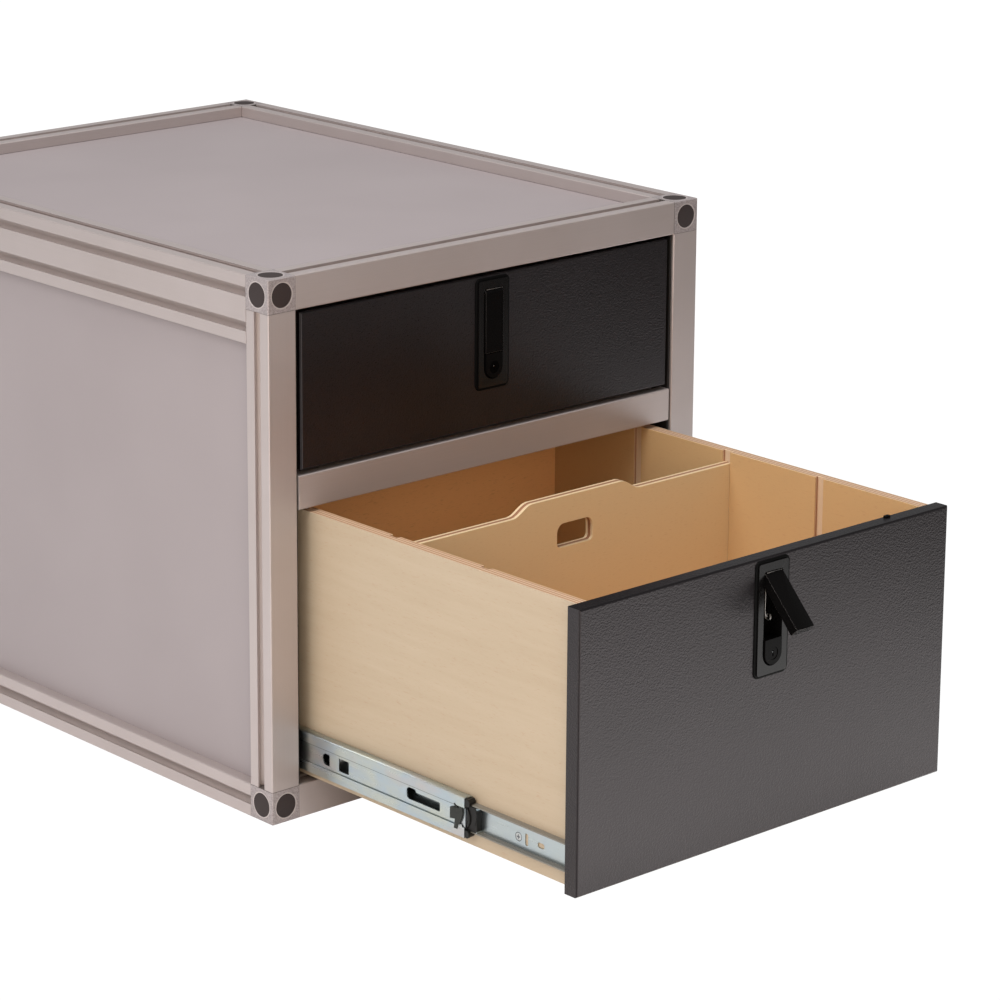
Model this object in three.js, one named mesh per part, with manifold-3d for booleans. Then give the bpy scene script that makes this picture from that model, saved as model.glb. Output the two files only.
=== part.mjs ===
import * as THREE from 'three';
import { mergeVertices } from 'three/addons/utils/BufferGeometryUtils.js';
import Module from 'manifold-3d';

const wasm = await Module();
wasm.setup();

// Van drawer system: a cabinet of slotted aluminium profile with a closed drawer above an open one.
// Millimetres. X runs to the right along the front, Y to the back and Z up.
// Y is zero at the front of the frame while the pieces are made; the last lines centre the whole.

// cabinet
const cabinetWidth = 505;
const cabinetDepth = 662;
const lowerOpeningHeight = 247;
const upperOpeningHeight = 145;

// slotted profile
const profileSize = 30;
const profileCornerCut = 0.75;
const slotWidth = 8.25;
const slotLip = 2.25;
const slotInnerWidth = 16;
const slotShoulder = 4.25;
const slotDepth = 9;
const coreRadius = 3.65;

// corner cubes
const capRadius = 10.75;
const capRecess = 0.5;

// panels in the profile slots
const panelThickness = 8;
const panelEngagement = 6.5;
const panelCornerClearance = 0.5;

// middle rail and the plates that carry the slides
const midRailSetback = 0.5;
const plateThickness = 2.25;
const plateFrontSetback = 2.5;
const plateEdgeClearance = 0.5;
const plateRearClearance = 1;

// drawer faces
const faceThickness = 14;
const faceSetback = 1.25;
const faceSideGap = 5.75;
const faceChamfer = 1.5;
const lowerFaceGapBelow = 1.5;
const lowerFaceGapAbove = 4;
const upperFaceGapBelow = 4;
const upperFaceGapAbove = 3.25;

// drawer boxes
const boxLength = 464;
const plyThickness = 12;
const bottomThickness = 9;
const boxBottomRise = 2.5;
const boxTopDrop = 0.25;
const frontBoardDrop = 10.5;
const bottomRise = 10;
const grooveDepth = 4;
const bottomFit = 0.25;
const dividerThickness = 9;
const dividerFit = 0.25;
const dividerDrop = 10.5;
const dividerGrooveCount = 3;
const firstGrooveBack = 103.5;
const grooveSpacing = 113.25;
const dividerGrooveShare = 0.5;

// raised part and hand hole of the divider
const raisedShift = 7;
const raisedHeight = 9.5;
const raisedHalfWidth = 53.25;
const rampLength = 22;
const rampSteps = 6;
const handHoleShift = 4.75;
const handHoleWidth = 42.5;
const handHoleHeight = 21.5;
const handHoleTopRadius = 8;
const handHoleBottomRadius = 4;
const handHoleDrop = 15;

// drawer slides
const slideLength = 457;
const slideThickness = 12.75;
const slideSheet = 1.25;
const slideFrontGap = 1.75;
const slideRise = 29;
const cabinetMemberHalf = 22.75;
const cabinetMemberReach = 10.5;
const cabinetMemberLip = 3;
const middleMemberHalf = 17.25;
const middleBandStart = 2.5;
const middleWebStep = 1.25;
const middleWebHalf = 8.5;
const middleMemberReach = 11.5;
const middleMemberLength = 440;
const drawerMemberHalf = 12.25;
const drawerMemberStart = 6.25;
const runningGap = 0.25;
const cageLength = 90;
const cageInset = 3;
const cageThickness = 5;
const cageBite = 0.5;
const noseLength = 12;
const noseRoot = 8;

// openings in the slide members, placed back from the member's front end and up from its middle
const stopSlot = { back: 178.5, rise: 0, length: 9.25, height: 10.25, frontRadius: 1, rearRadius: 4.5 };
const tabSlot = { back: 155, rise: 0, length: 13, height: 11.5, frontRadius: 0.75, rearRadius: 0.75 };
const longSlot = { back: 52.5, rise: 0, length: 42, height: 8, frontRadius: 1.5, rearRadius: 3.5 };
const headSlot = { back: 67.5, rise: 1.25, length: 12, height: 10.5, frontRadius: 2.5, rearRadius: 4 };
const screwHole = { back: 61, rise: -1.25, length: 4.5, height: 4.5, frontRadius: 2, rearRadius: 2 };
const uprightSlot = { back: 51.5, rise: -1.25, length: 3.5, height: 10.5, frontRadius: 1.5, rearRadius: 1.5 };
const flatSlot = { back: 34.5, rise: -1.25, length: 8, height: 4.5, frontRadius: 2, rearRadius: 2 };

// how far the lower drawer stands out, and how far its middle members follow
const lowerDrawerOut = 341.75;
const middleFollowShare = 0.689;

// latches
const latchWidth = 34.5;
const latchHeight = 96;
const latchProud = 2.25;
const latchCornerRadius = 2;
const latchDrop = 4.5;
const pocketWidth = 22;
const pocketTopMargin = 7.5;
const pocketBottomMargin = 6.5;
const tubDepth = 13;
const tubFloor = 1.5;
const tubWall = 2.5;
const tubTopMargin = 4.5;
const tubBottomMargin = 3;
const tubFit = 0.25;

// lever of a latch
const leverProud = 1.5;
const leverLength = 57;
const leverSideGap = 0.75;
const leverEndGap = 0.5;
const leverSkin = 2;
const leverLipDepth = 9;
const pivotRadius = 1.75;
const pivotFit = 0.08;
const pivotReach = 1.5;
const pivotBoreReach = 1.75;
const pivotDepth = 0.25;
const lowerLeverLift = 43;
const upperLeverLift = 0;

// lock of a latch
const lockBlockGap = 1.25;
const lockPlugRadius = 5.5;
const lockPlugFit = 0.08;
const lockPlugLength = 8;
const lockPlugSink = 0.5;
const keywayWidth = 1.25;
const keywayHeight = 5;
const keywayDepth = 3;

// bolt of a latch
const boltWidth = 16;
const boltThickness = 3;
const boltLength = 50;
const boltDrop = 6.5;
const boltFit = 0.25;

// outline points nearer to each other than this are one
const weldDistance = 0.001;

// facets of round forms
const capFacets = 28;
const pivotFacets = 20;
const lockFacets = 32;
const cornerFacets = 4;
const coreFacets = 12;
const pocketFacets = 12;

// derived places
const halfWidth = cabinetWidth / 2;
const innerHalfWidth = halfWidth - profileSize;
const slotCentre = profileSize / 2;
const doubleProfile = profileSize * 2;
const openingBottom = profileSize;
const midRailBottom = openingBottom + lowerOpeningHeight;
const midRailTop = midRailBottom + profileSize;
const openingTop = midRailTop + upperOpeningHeight;
const cabinetHeight = openingTop + profileSize;
const slideOuter = innerHalfWidth - plateThickness;
const boxHalfWidth = slideOuter - slideThickness;
const boxInnerHalf = boxHalfWidth - plyThickness;
const closedFaceBack = faceSetback + faceThickness;
const middleTravel = lowerDrawerOut * middleFollowShare;
const fullTurn = Math.PI * 2;

// materials
const frameMaterial = surface('#b3aaa7', 0.45, 0.75);
const panelMaterial = surface('#ada5a4', 0.55, 0.45);
const plateMaterial = surface('#3a3836', 0.55, 0.5);
const faceMaterial = surface('#4b4848', 0.6, 0);
const plywoodMaterial = surface('#cdb491', 0.6, 0);
const slideMaterial = surface('#c2cacb', 0.32, 0.9);
const latchMaterial = surface('#1b1a1a', 0.42, 0.1);
const lockMaterial = surface('#55534f', 0.35, 0.8);

const group = new THREE.Group();

function surface(color, roughness, metalness) {
  return new THREE.MeshStandardMaterial({ color, roughness, metalness });
}

function add(name, geometry, material) {
  const mesh = new THREE.Mesh(geometry, material.clone());
  mesh.name = name;
  group.add(mesh);
}

// Solids of one outline, swept along an axis

function shapeOf(points, holes = []) {
  const shape = new THREE.Shape(points.map(([a, b]) => new THREE.Vector2(a, b)));
  shape.holes = holes.map((hole) => new THREE.Path(hole.map(([a, b]) => new THREE.Vector2(a, b))));
  return shape;
}

function sweep(points, depth, holes, place) {
  const geometry = new THREE.ExtrudeGeometry(shapeOf(points, holes), { depth, bevelEnabled: false, steps: 1 });
  const position = geometry.attributes.position;
  for (let i = 0; i < position.count; i += 1) {
    position.setXYZ(i, ...place(position.getX(i), position.getY(i), position.getZ(i)));
  }
  geometry.deleteAttribute('uv');
  geometry.computeVertexNormals();
  return geometry;
}

function sweepX(points, from, to, holes) {
  return sweep(points, to - from, holes, (a, b, e) => [e > 0 ? to : from, a, b]);
}

function sweepY(points, from, to, holes) {
  return sweep(points, to - from, holes, (a, b, e) => [a, e > 0 ? from : to, b]);
}

function sweepZ(points, from, to, holes) {
  return sweep(points, to - from, holes, (a, b, e) => [a, b, e > 0 ? to : from]);
}

// Points that fall together, as where two round corners meet, are kept once
function withoutRepeats(points) {
  return points.filter(([a, b], i) => {
    const [aLast, bLast] = points.at(i - 1);
    return Math.hypot(a - aLast, b - bLast) > weldDistance;
  });
}

function rectangle(a0, b0, a1, b1) {
  return [[a0, b0], [a1, b0], [a1, b1], [a0, b1]];
}

function block(x0, y0, z0, x1, y1, z1) {
  return sweepZ(rectangle(x0, y0, x1, y1), z0, z1);
}

function circle(a, b, radius, facets) {
  return Array.from({ length: facets }, (_, i) => {
    const angle = (i / facets) * fullTurn;
    return [a + radius * Math.cos(angle), b + radius * Math.sin(angle)];
  });
}

// Rectangle with round corners: radii in the order low-low, high-low, high-high, low-high
function roundedRectangle(a0, b0, a1, b1, radii, facets) {
  const quarter = fullTurn / 4;
  const centres = [
    [a0 + radii[0], b0 + radii[0]],
    [a1 - radii[1], b0 + radii[1]],
    [a1 - radii[2], b1 - radii[2]],
    [a0 + radii[3], b1 - radii[3]],
  ];
  return withoutRepeats(centres.flatMap(([a, b], corner) => Array.from({ length: facets + 1 }, (_, i) => {
    const angle = quarter * (corner + 2 + i / facets);
    return [a + radii[corner] * Math.cos(angle), b + radii[corner] * Math.sin(angle)];
  })));
}

// Joining and cutting

function solid(geometry) {
  const bare = geometry.clone();
  bare.deleteAttribute('normal');
  bare.deleteAttribute('uv');
  const merged = mergeVertices(bare);
  return wasm.Manifold.ofMesh(new wasm.Mesh({
    numProp: 3,
    vertProperties: new Float32Array(merged.attributes.position.array),
    triVerts: new Uint32Array(merged.index.array),
  }));
}

function geometryOf(manifold) {
  const mesh = manifold.getMesh();
  const geometry = new THREE.BufferGeometry();
  geometry.setAttribute('position', new THREE.BufferAttribute(new Float32Array(mesh.vertProperties), 3));
  geometry.setIndex(new THREE.BufferAttribute(new Uint32Array(mesh.triVerts), 1));
  geometry.computeVertexNormals();
  return geometry;
}

function cut(geometry, ...tools) {
  return geometryOf(tools.reduce((body, tool) => body.subtract(solid(tool)), solid(geometry)));
}

function join(geometry, ...others) {
  return geometryOf(others.reduce((body, other) => body.add(solid(other)), solid(geometry)));
}

function common(geometry, ...others) {
  return geometryOf(others.reduce((body, other) => body.intersect(solid(other)), solid(geometry)));
}

// Slotted profile: the sides run round the outline, and each names its slots by their distance from its start

function slotOutline(along, inward, origin, at) {
  const inner = slotInnerWidth / 2;
  const mouth = slotWidth / 2;
  const floor = inner - (slotDepth - slotShoulder);
  const half = [[-mouth, 0], [-mouth, slotLip], [-inner, slotLip], [-inner, slotShoulder], [-floor, slotDepth]];
  const points = [...half, ...half.map(([s, d]) => [-s, d]).reverse()];
  return points.map(([s, d]) => [
    origin[0] + along[0] * (at + s) + inward[0] * d,
    origin[1] + along[1] * (at + s) + inward[1] * d,
  ]);
}

function profileOutline(a0, b0, width, height, slots) {
  const sides = [
    { name: 'low_b', origin: [a0, b0], along: [1, 0], inward: [0, 1], length: width },
    { name: 'high_a', origin: [a0 + width, b0], along: [0, 1], inward: [-1, 0], length: height },
    { name: 'high_b', origin: [a0 + width, b0 + height], along: [-1, 0], inward: [0, -1], length: width },
    { name: 'low_a', origin: [a0, b0 + height], along: [0, -1], inward: [1, 0], length: height },
  ];
  return sides.flatMap(({ name, origin, along, inward, length }) => {
    const places = slots.includes(name) ? slotPlaces(length) : [];
    const ends = [profileCornerCut, length - profileCornerCut].map((s) => [
      origin[0] + along[0] * s,
      origin[1] + along[1] * s,
    ]);
    return [ends[0], ...places.flatMap((at) => slotOutline(along, inward, origin, at)), ends[1]];
  });
}

function slotPlaces(length) {
  const count = Math.round(length / profileSize);
  return Array.from({ length: count }, (_, i) => slotCentre + i * profileSize);
}

// A bar of profile along one axis, with a bore through the core of each of its squares
function bar(sweepAlong, a0, b0, height, slots, from, to) {
  const cores = slotPlaces(height).map((at) => circle(a0 + slotCentre, b0 + at, coreRadius, coreFacets));
  return sweepAlong(profileOutline(a0, b0, profileSize, height, slots), from, to, cores);
}

// Frame

const endSides = [
  { name: 'front', y: 0, outward: -1, inner: 'high_b' },
  { name: 'rear', y: cabinetDepth - profileSize, outward: 1, inner: 'low_b' },
];
const handSides = [
  { name: 'left', x: -halfWidth, outward: -1, outer: 'low_a', inner: 'high_a' },
  { name: 'right', x: innerHalfWidth, outward: 1, outer: 'high_a', inner: 'low_a' },
];

function addPosts() {
  for (const end of endSides) {
    for (const hand of handSides) {
      const slots = [hand.outer, hand.inner, end.inner];
      const post = bar(sweepZ, hand.x, end.y, profileSize, slots, openingBottom, openingTop);
      add(`post_${end.name}_${hand.name}`, post, frameMaterial);
    }
  }
}

function addCrossRails() {
  for (const end of endSides) {
    const inner = end.name === 'front' ? 'high_a' : 'low_a';
    const span = [-innerHalfWidth, innerHalfWidth];
    const top = bar(sweepX, end.y, openingTop, profileSize, ['high_b', 'low_b', inner], ...span);
    const bottom = bar(sweepX, end.y, 0, profileSize, ['high_b', inner], ...span);
    add(`top_rail_${end.name}`, top, frameMaterial);
    add(`bottom_rail_${end.name}`, bottom, frameMaterial);
  }
}

function addSideRails() {
  const span = [profileSize, cabinetDepth - profileSize];
  const topLow = cabinetHeight - doubleProfile;
  for (const hand of handSides) {
    const top = bar(sweepY, hand.x, topLow, doubleProfile, ['low_a', 'high_a', 'low_b', 'high_b'], ...span);
    const bottom = bar(sweepY, hand.x, 0, profileSize, ['low_a', 'high_a', 'high_b'], ...span);
    add(`top_rail_${hand.name}`, top, frameMaterial);
    add(`bottom_rail_${hand.name}`, bottom, frameMaterial);
  }
}

function addMidRail() {
  const slots = ['low_b', 'high_b', 'high_a'];
  const rail = bar(sweepX, midRailSetback, midRailBottom, profileSize, slots, -slideOuter, slideOuter);
  add('mid_rail_front', rail, frameMaterial);
}

// Corner cubes with a cut along each outer edge and a round seat for a cap in each outward side

function cornerCutSquare(a0, b0, aOut, bOut) {
  const corners = [[-1, -1], [1, -1], [1, 1], [-1, 1]];
  return corners.flatMap(([aSide, bSide], i) => {
    const a = a0 + (aSide > 0 ? profileSize : 0);
    const b = b0 + (bSide > 0 ? profileSize : 0);
    if (aSide !== aOut || bSide !== bOut) {
      return [[a, b]];
    }
    const along = [a - aSide * profileCornerCut, b];
    const across = [a, b - bSide * profileCornerCut];
    return i % 2 === 0 ? [across, along] : [along, across];
  });
}

function cornerCube(xOut, yOut, zOut) {
  const x = xOut < 0 ? -halfWidth : innerHalfWidth;
  const y = yOut < 0 ? 0 : cabinetDepth - profileSize;
  const z = zOut < 0 ? 0 : openingTop;
  const ends = [x, y, z].map((low) => [low, low + profileSize]);
  const body = common(
    sweepX(cornerCutSquare(y, z, yOut, zOut), ...ends[0]),
    sweepY(cornerCutSquare(x, z, xOut, zOut), ...ends[1]),
    sweepZ(cornerCutSquare(x, y, xOut, yOut), ...ends[2]),
  );
  const seats = [
    [sweepX, y, z, ends[0], xOut],
    [sweepY, x, z, ends[1], yOut],
    [sweepZ, x, y, ends[2], zOut],
  ].map(([sweepAlong, a, b, [low, high], out]) => {
    const from = out < 0 ? low - capRecess : high - capRecess;
    const ring = circle(a + slotCentre, b + slotCentre, capRadius, capFacets);
    return sweepAlong(ring, from, from + capRecess * 2);
  });
  return cut(body, ...seats);
}

function addCornerCubes() {
  for (const [level, zOut] of [['top', 1], ['bottom', -1]]) {
    for (const end of endSides) {
      for (const hand of handSides) {
        const name = `corner_${level}_${end.name}_${hand.name}`;
        add(name, cornerCube(hand.outward, end.outward, zOut), frameMaterial);
      }
    }
  }
}

// Panels: their edges stand in the slots, and their corners are notched round the cubes

function notchedOutline(a0, b0, a1, b1) {
  const reach = panelEngagement;
  const clear = panelCornerClearance;
  return [
    [a0 + clear, b0 - reach], [a1 - clear, b0 - reach], [a1 - clear, b0 + clear],
    [a1 + reach, b0 + clear], [a1 + reach, b1 - clear], [a1 - clear, b1 - clear],
    [a1 - clear, b1 + reach], [a0 + clear, b1 + reach], [a0 + clear, b1 - clear],
    [a0 - reach, b1 - clear], [a0 - reach, b0 + clear], [a0 + clear, b0 + clear],
  ];
}

function addPanels() {
  const slotEdge = slotCentre - slotWidth / 2;
  const rearInner = cabinetDepth - profileSize;
  const topLow = cabinetHeight - slotCentre - slotWidth / 2;
  const topOutline = notchedOutline(-innerHalfWidth, profileSize, innerHalfWidth, rearInner);
  add('top_panel', sweepZ(topOutline, topLow, topLow + panelThickness), panelMaterial);
  const sideOutline = notchedOutline(profileSize, openingBottom, rearInner, cabinetHeight - doubleProfile);
  const leftLow = -halfWidth + slotEdge;
  add('left_panel', sweepX(sideOutline, leftLow, leftLow + panelThickness), panelMaterial);
  add('right_panel', sweepX(sideOutline, -leftLow - panelThickness, -leftLow), panelMaterial);
  const rearOutline = notchedOutline(-innerHalfWidth, openingBottom, innerHalfWidth, openingTop);
  const rearHigh = cabinetDepth - slotEdge;
  add('rear_panel', sweepY(rearOutline, rearHigh - panelThickness, rearHigh), panelMaterial);
}

function addPlates() {
  const yEnd = cabinetDepth - slotCentre - slotWidth / 2 - plateRearClearance;
  const [zLow, zHigh] = [openingBottom + plateEdgeClearance, openingTop - plateEdgeClearance];
  const outline = rectangle(plateFrontSetback, zLow, yEnd, zHigh);
  add('mounting_plate_left', sweepX(outline, -innerHalfWidth, -slideOuter), plateMaterial);
  add('mounting_plate_right', sweepX(outline, slideOuter, innerHalfWidth), plateMaterial);
}

// Drawers: each is placed by its own face, and the lower one stands out by its travel

const drawers = [
  {
    name: 'lower',
    out: lowerDrawerOut,
    faceBottom: openingBottom + lowerFaceGapBelow,
    faceTop: midRailBottom - lowerFaceGapAbove,
    leverLift: lowerLeverLift,
    divided: true,
  },
  {
    name: 'upper',
    out: 0,
    faceBottom: midRailTop + upperFaceGapBelow,
    faceTop: openingTop - upperFaceGapAbove,
    leverLift: upperLeverLift,
    divided: false,
  },
];

// Groove places of a divided box, from the inner side of its front board backwards in equal steps
function dividerPlaces(drawer) {
  const first = closedFaceBack - drawer.out + plyThickness + firstGrooveBack;
  return Array.from({ length: dividerGrooveCount }, (_, i) => first + grooveSpacing * i);
}

function addFace(drawer, levels) {
  const { front, back, faceHalf } = levels;
  const { faceBottom, faceTop } = drawer;
  const c = faceChamfer;
  const side = [
    [front, faceBottom + c], [front + c, faceBottom], [back, faceBottom],
    [back, faceTop], [front + c, faceTop], [front, faceTop - c],
  ];
  const plan = [
    [-faceHalf + c, front], [faceHalf - c, front], [faceHalf, front + c],
    [faceHalf, back], [-faceHalf, back], [-faceHalf, front + c],
  ];
  const plate = common(sweepX(side, -faceHalf, faceHalf), sweepZ(plan, faceBottom, faceTop));
  const latch = latchLevels(drawer);
  const seatHalf = pocketWidth / 2 + tubWall + tubFit;
  const seat = block(
    -seatHalf, front - c, latch.tubBottom - tubFit,
    seatHalf, back + c, latch.tubTop + tubFit,
  );
  add(`${drawer.name}_face`, cut(plate, seat), faceMaterial);
}

function addSides(drawer, levels) {
  const { back, boxEnd, boxBottom, boxTop, bottomLow } = levels;
  const bottomHigh = bottomLow + bottomThickness + bottomFit;
  const reach = boxInnerHalf + grooveDepth;
  for (const [hand, sign] of [['left', -1], ['right', 1]]) {
    const span = (from, to) => (sign < 0 ? [-to, -from] : [from, to]);
    const board = (y0, z0, y1, z1, from, to) => sweepX(rectangle(y0, z0, y1, z1), ...span(from, to));
    const grooves = [board(back + plyThickness, bottomLow, boxEnd - plyThickness, bottomHigh, 0, reach)];
    if (drawer.divided) {
      const halfGroove = dividerThickness / 2 + dividerFit;
      for (const y of dividerPlaces(drawer)) {
        grooves.push(board(y - halfGroove, bottomHigh, y + halfGroove, boxTop + grooveDepth, 0, reach));
      }
    }
    const side = board(back, boxBottom, boxEnd, boxTop, boxInnerHalf, boxHalfWidth);
    add(`${drawer.name}_${hand}_side`, cut(side, ...grooves), plywoodMaterial);
  }
}

function addBoards(drawer, levels) {
  const { back, boxEnd, boxBottom, boxTop, frontBoardTop, bottomLow } = levels;
  const inner = boxInnerHalf;
  const front = block(-inner, back, boxBottom, inner, back + plyThickness, frontBoardTop);
  const boltHalf = boltWidth / 2 + boltFit;
  const boltLow = drawer.faceTop - boltDrop - boltLength - boltFit;
  const boltSeat = block(
    -boltHalf, back - boltFit, boltLow,
    boltHalf, back + boltThickness + boltFit * 2, frontBoardTop + boltFit,
  );
  add(`${drawer.name}_front_board`, cut(front, boltSeat), plywoodMaterial);
  const rear = block(-inner, boxEnd - plyThickness, boxBottom, inner, boxEnd, boxTop);
  add(`${drawer.name}_back_board`, rear, plywoodMaterial);
  const reach = inner + grooveDepth - bottomFit;
  const bottom = block(
    -reach, back + plyThickness, bottomLow,
    reach, boxEnd - plyThickness, bottomLow + bottomThickness,
  );
  add(`${drawer.name}_bottom`, bottom, plywoodMaterial);
}

// Divider with a raised part, soft ramps and a hand hole
function addDivider(drawer, levels) {
  const low = levels.bottomLow + bottomThickness;
  const high = levels.boxTop - dividerDrop;
  const reach = boxInnerHalf + grooveDepth - dividerFit;
  const foot = boxInnerHalf - dividerFit;
  const footTop = low + bottomFit * 2;
  const ramp = Array.from({ length: rampSteps + 1 }, (_, i) => {
    const share = i / rampSteps;
    const rise = raisedHeight * THREE.MathUtils.smoothstep(1 - share, 0, 1);
    return [raisedHalfWidth + rampLength * share, high + rise];
  });
  const outline = [
    [-foot, low], [foot, low], [foot, footTop], [reach, footTop], [reach, high],
    ...ramp.map(([x, z]) => [raisedShift + x, z]).reverse(),
    ...ramp.map(([x, z]) => [raisedShift - x, z]),
    [-reach, high], [-reach, footTop], [-foot, footTop],
  ];
  const holeTop = high - handHoleDrop;
  const holeHalf = handHoleWidth / 2;
  const radii = [handHoleBottomRadius, handHoleBottomRadius, handHoleTopRadius, handHoleTopRadius];
  const hole = roundedRectangle(
    handHoleShift - holeHalf, holeTop - handHoleHeight,
    handHoleShift + holeHalf, holeTop, radii, cornerFacets,
  );
  const places = dividerPlaces(drawer);
  const y = places[Math.round((places.length - 1) * dividerGrooveShare)];
  const half = dividerThickness / 2;
  add(`${drawer.name}_divider`, sweepY(outline, y - half, y + half, [hole]), plywoodMaterial);
}

function addDrawer(drawer) {
  const front = faceSetback - drawer.out;
  const back = front + faceThickness;
  const boxBottom = drawer.faceBottom + boxBottomRise;
  const levels = {
    front,
    back,
    faceHalf: innerHalfWidth - faceSideGap,
    boxEnd: back + boxLength,
    boxBottom,
    boxTop: drawer.faceTop - boxTopDrop,
    frontBoardTop: drawer.faceTop - frontBoardDrop,
    bottomLow: boxBottom + bottomRise,
  };
  addFace(drawer, levels);
  addSides(drawer, levels);
  addBoards(drawer, levels);
  if (drawer.divided) {
    addDivider(drawer, levels);
  }
}

// Slides: outlines run from the cabinet side at zero to the drawer box at the slide's thickness

function cabinetMemberOutline() {
  const t = slideSheet;
  const h = cabinetMemberHalf;
  const r = cabinetMemberReach;
  const lip = h - cabinetMemberLip;
  return [
    [0, -h], [r, -h], [r, -lip], [r - t, -lip], [r - t, -h + t], [t, -h + t],
    [t, h - t], [r - t, h - t], [r - t, lip], [r, lip], [r, h], [0, h],
  ];
}

function middleMemberOutline() {
  const t = slideSheet;
  const h = middleMemberHalf;
  const r = middleMemberReach;
  const band = middleBandStart;
  const web = band + middleWebStep;
  const w = middleWebHalf;
  return [
    [band, -h], [r, -h], [r, -h + t], [band + t, -h + t], [band + t, -w - t], [web + t, -w - t],
    [web + t, w + t], [band + t, w + t], [band + t, h - t], [r, h - t], [r, h], [band, h],
    [band, w], [web, w], [web, -w], [band, -w],
  ];
}

function drawerMemberOutline() {
  const t = slideSheet;
  const h = drawerMemberHalf;
  const s = drawerMemberStart;
  const e = slideThickness;
  return [[s, -h], [e, -h], [e, h], [s, h], [s, h - t], [e - t, h - t], [e - t, -h + t], [s, -h + t]];
}

// A slide's own frame: u from the cabinet side inwards, y along the drawer and v up from the slide's middle
function slideFrame(sign, height) {
  const x = (u) => (sign < 0 ? -slideOuter + u : slideOuter - u);
  const outline = (points) => points.map(([u, v]) => [x(u), height + v]);
  const span = (u0, u1) => [x(u0), x(u1)].sort((a, b) => a - b);
  const brick = (y0, y1, u0, u1, v0, v1) => {
    const outline = rectangle(y0, height + v0, y1, height + v1);
    return sweepX(outline, ...span(u0, u1));
  };
  const slot = (front, opening) => {
    const { back, rise, frontRadius, rearRadius } = opening;
    const y = front + back;
    const middle = height + rise;
    const halfLength = opening.length / 2;
    const halfHeight = opening.height / 2;
    const ring = roundedRectangle(
      y - halfLength, middle - halfHeight,
      y + halfLength, middle + halfHeight,
      [frontRadius, rearRadius, rearRadius, frontRadius], cornerFacets,
    );
    return sweepX(ring, ...span(0, slideThickness));
  };
  return { outline, brick, slot };
}

function addSlide(drawer, hand, sign) {
  const prefix = `${drawer.name}_${hand}_slide`;
  const height = drawer.faceBottom + slideRise;
  const { outline, brick, slot } = slideFrame(sign, height);
  const closedFront = closedFaceBack + slideFrontGap;
  const follow = drawer.out * middleFollowShare;

  const cabinetBody = sweepY(outline(cabinetMemberOutline()), closedFront, closedFront + slideLength);
  const flange = cabinetMemberHalf - slideSheet;
  const cageFrom = closedFront + cageInset;
  const outerCage = (low, high) => brick(
    cageFrom, cageFrom + cageLength, cageInset, cageInset + cageThickness, low, high,
  );
  const outerCages = [
    outerCage(middleMemberHalf + runningGap, flange + cageBite),
    outerCage(-flange - cageBite, -middleMemberHalf - runningGap),
  ];
  add(`${prefix}_cabinet`, join(cabinetBody, ...outerCages), slideMaterial);

  const middleFront = closedFaceBack + runningGap * 2 + noseLength - follow;
  const middleBody = sweepY(outline(middleMemberOutline()), middleFront, middleFront + middleMemberLength);
  const innerFlange = middleMemberHalf - slideSheet;
  const webInner = middleBandStart + middleWebStep + slideSheet;
  const innerCage = (low, high) => brick(
    middleFront, middleFront + cageLength, webInner, webInner + cageThickness, low, high,
  );
  const innerCages = [
    innerCage(drawerMemberHalf + runningGap, innerFlange + cageBite),
    innerCage(-innerFlange - cageBite, -drawerMemberHalf - runningGap),
  ];
  const noseHalf = drawerMemberHalf - slideSheet - runningGap;
  const noseEnd = slideThickness - slideSheet - runningGap;
  const noseRear = middleFront + noseRoot;
  const nose = brick(middleFront - noseLength, noseRear, webInner + cageBite, noseEnd, -noseHalf, noseHalf);
  const noseStem = brick(middleFront, noseRear, webInner - cageBite, noseEnd, -middleWebHalf, middleWebHalf);
  const middleSlots = [stopSlot, tabSlot, longSlot, headSlot].map((opening) => slot(middleFront, opening));
  add(`${prefix}_middle`, cut(join(middleBody, ...innerCages, nose, noseStem), ...middleSlots), slideMaterial);

  const drawerFront = closedFront - drawer.out;
  const drawerBody = sweepY(outline(drawerMemberOutline()), drawerFront, drawerFront + slideLength);
  const drawerSlots = [screwHole, uprightSlot, flatSlot].map((opening) => slot(drawerFront, opening));
  add(`${prefix}_drawer`, cut(drawerBody, ...drawerSlots), slideMaterial);
}

// Latches: a tub with a raised rim in the face, a lever on a pin, a lock plug and a bolt behind the face

function latchLevels(drawer) {
  const top = drawer.faceTop - latchDrop;
  const bottom = top - latchHeight;
  const pocketTop = top - pocketTopMargin;
  const pocketBottom = bottom + pocketBottomMargin;
  const leverTop = pocketTop - leverEndGap;
  return {
    top,
    bottom,
    pocketTop,
    pocketBottom,
    leverTop,
    leverTip: leverTop - leverLength,
    tubTop: top - tubTopMargin,
    tubBottom: bottom + tubBottomMargin,
    face: faceSetback - drawer.out,
  };
}

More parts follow.
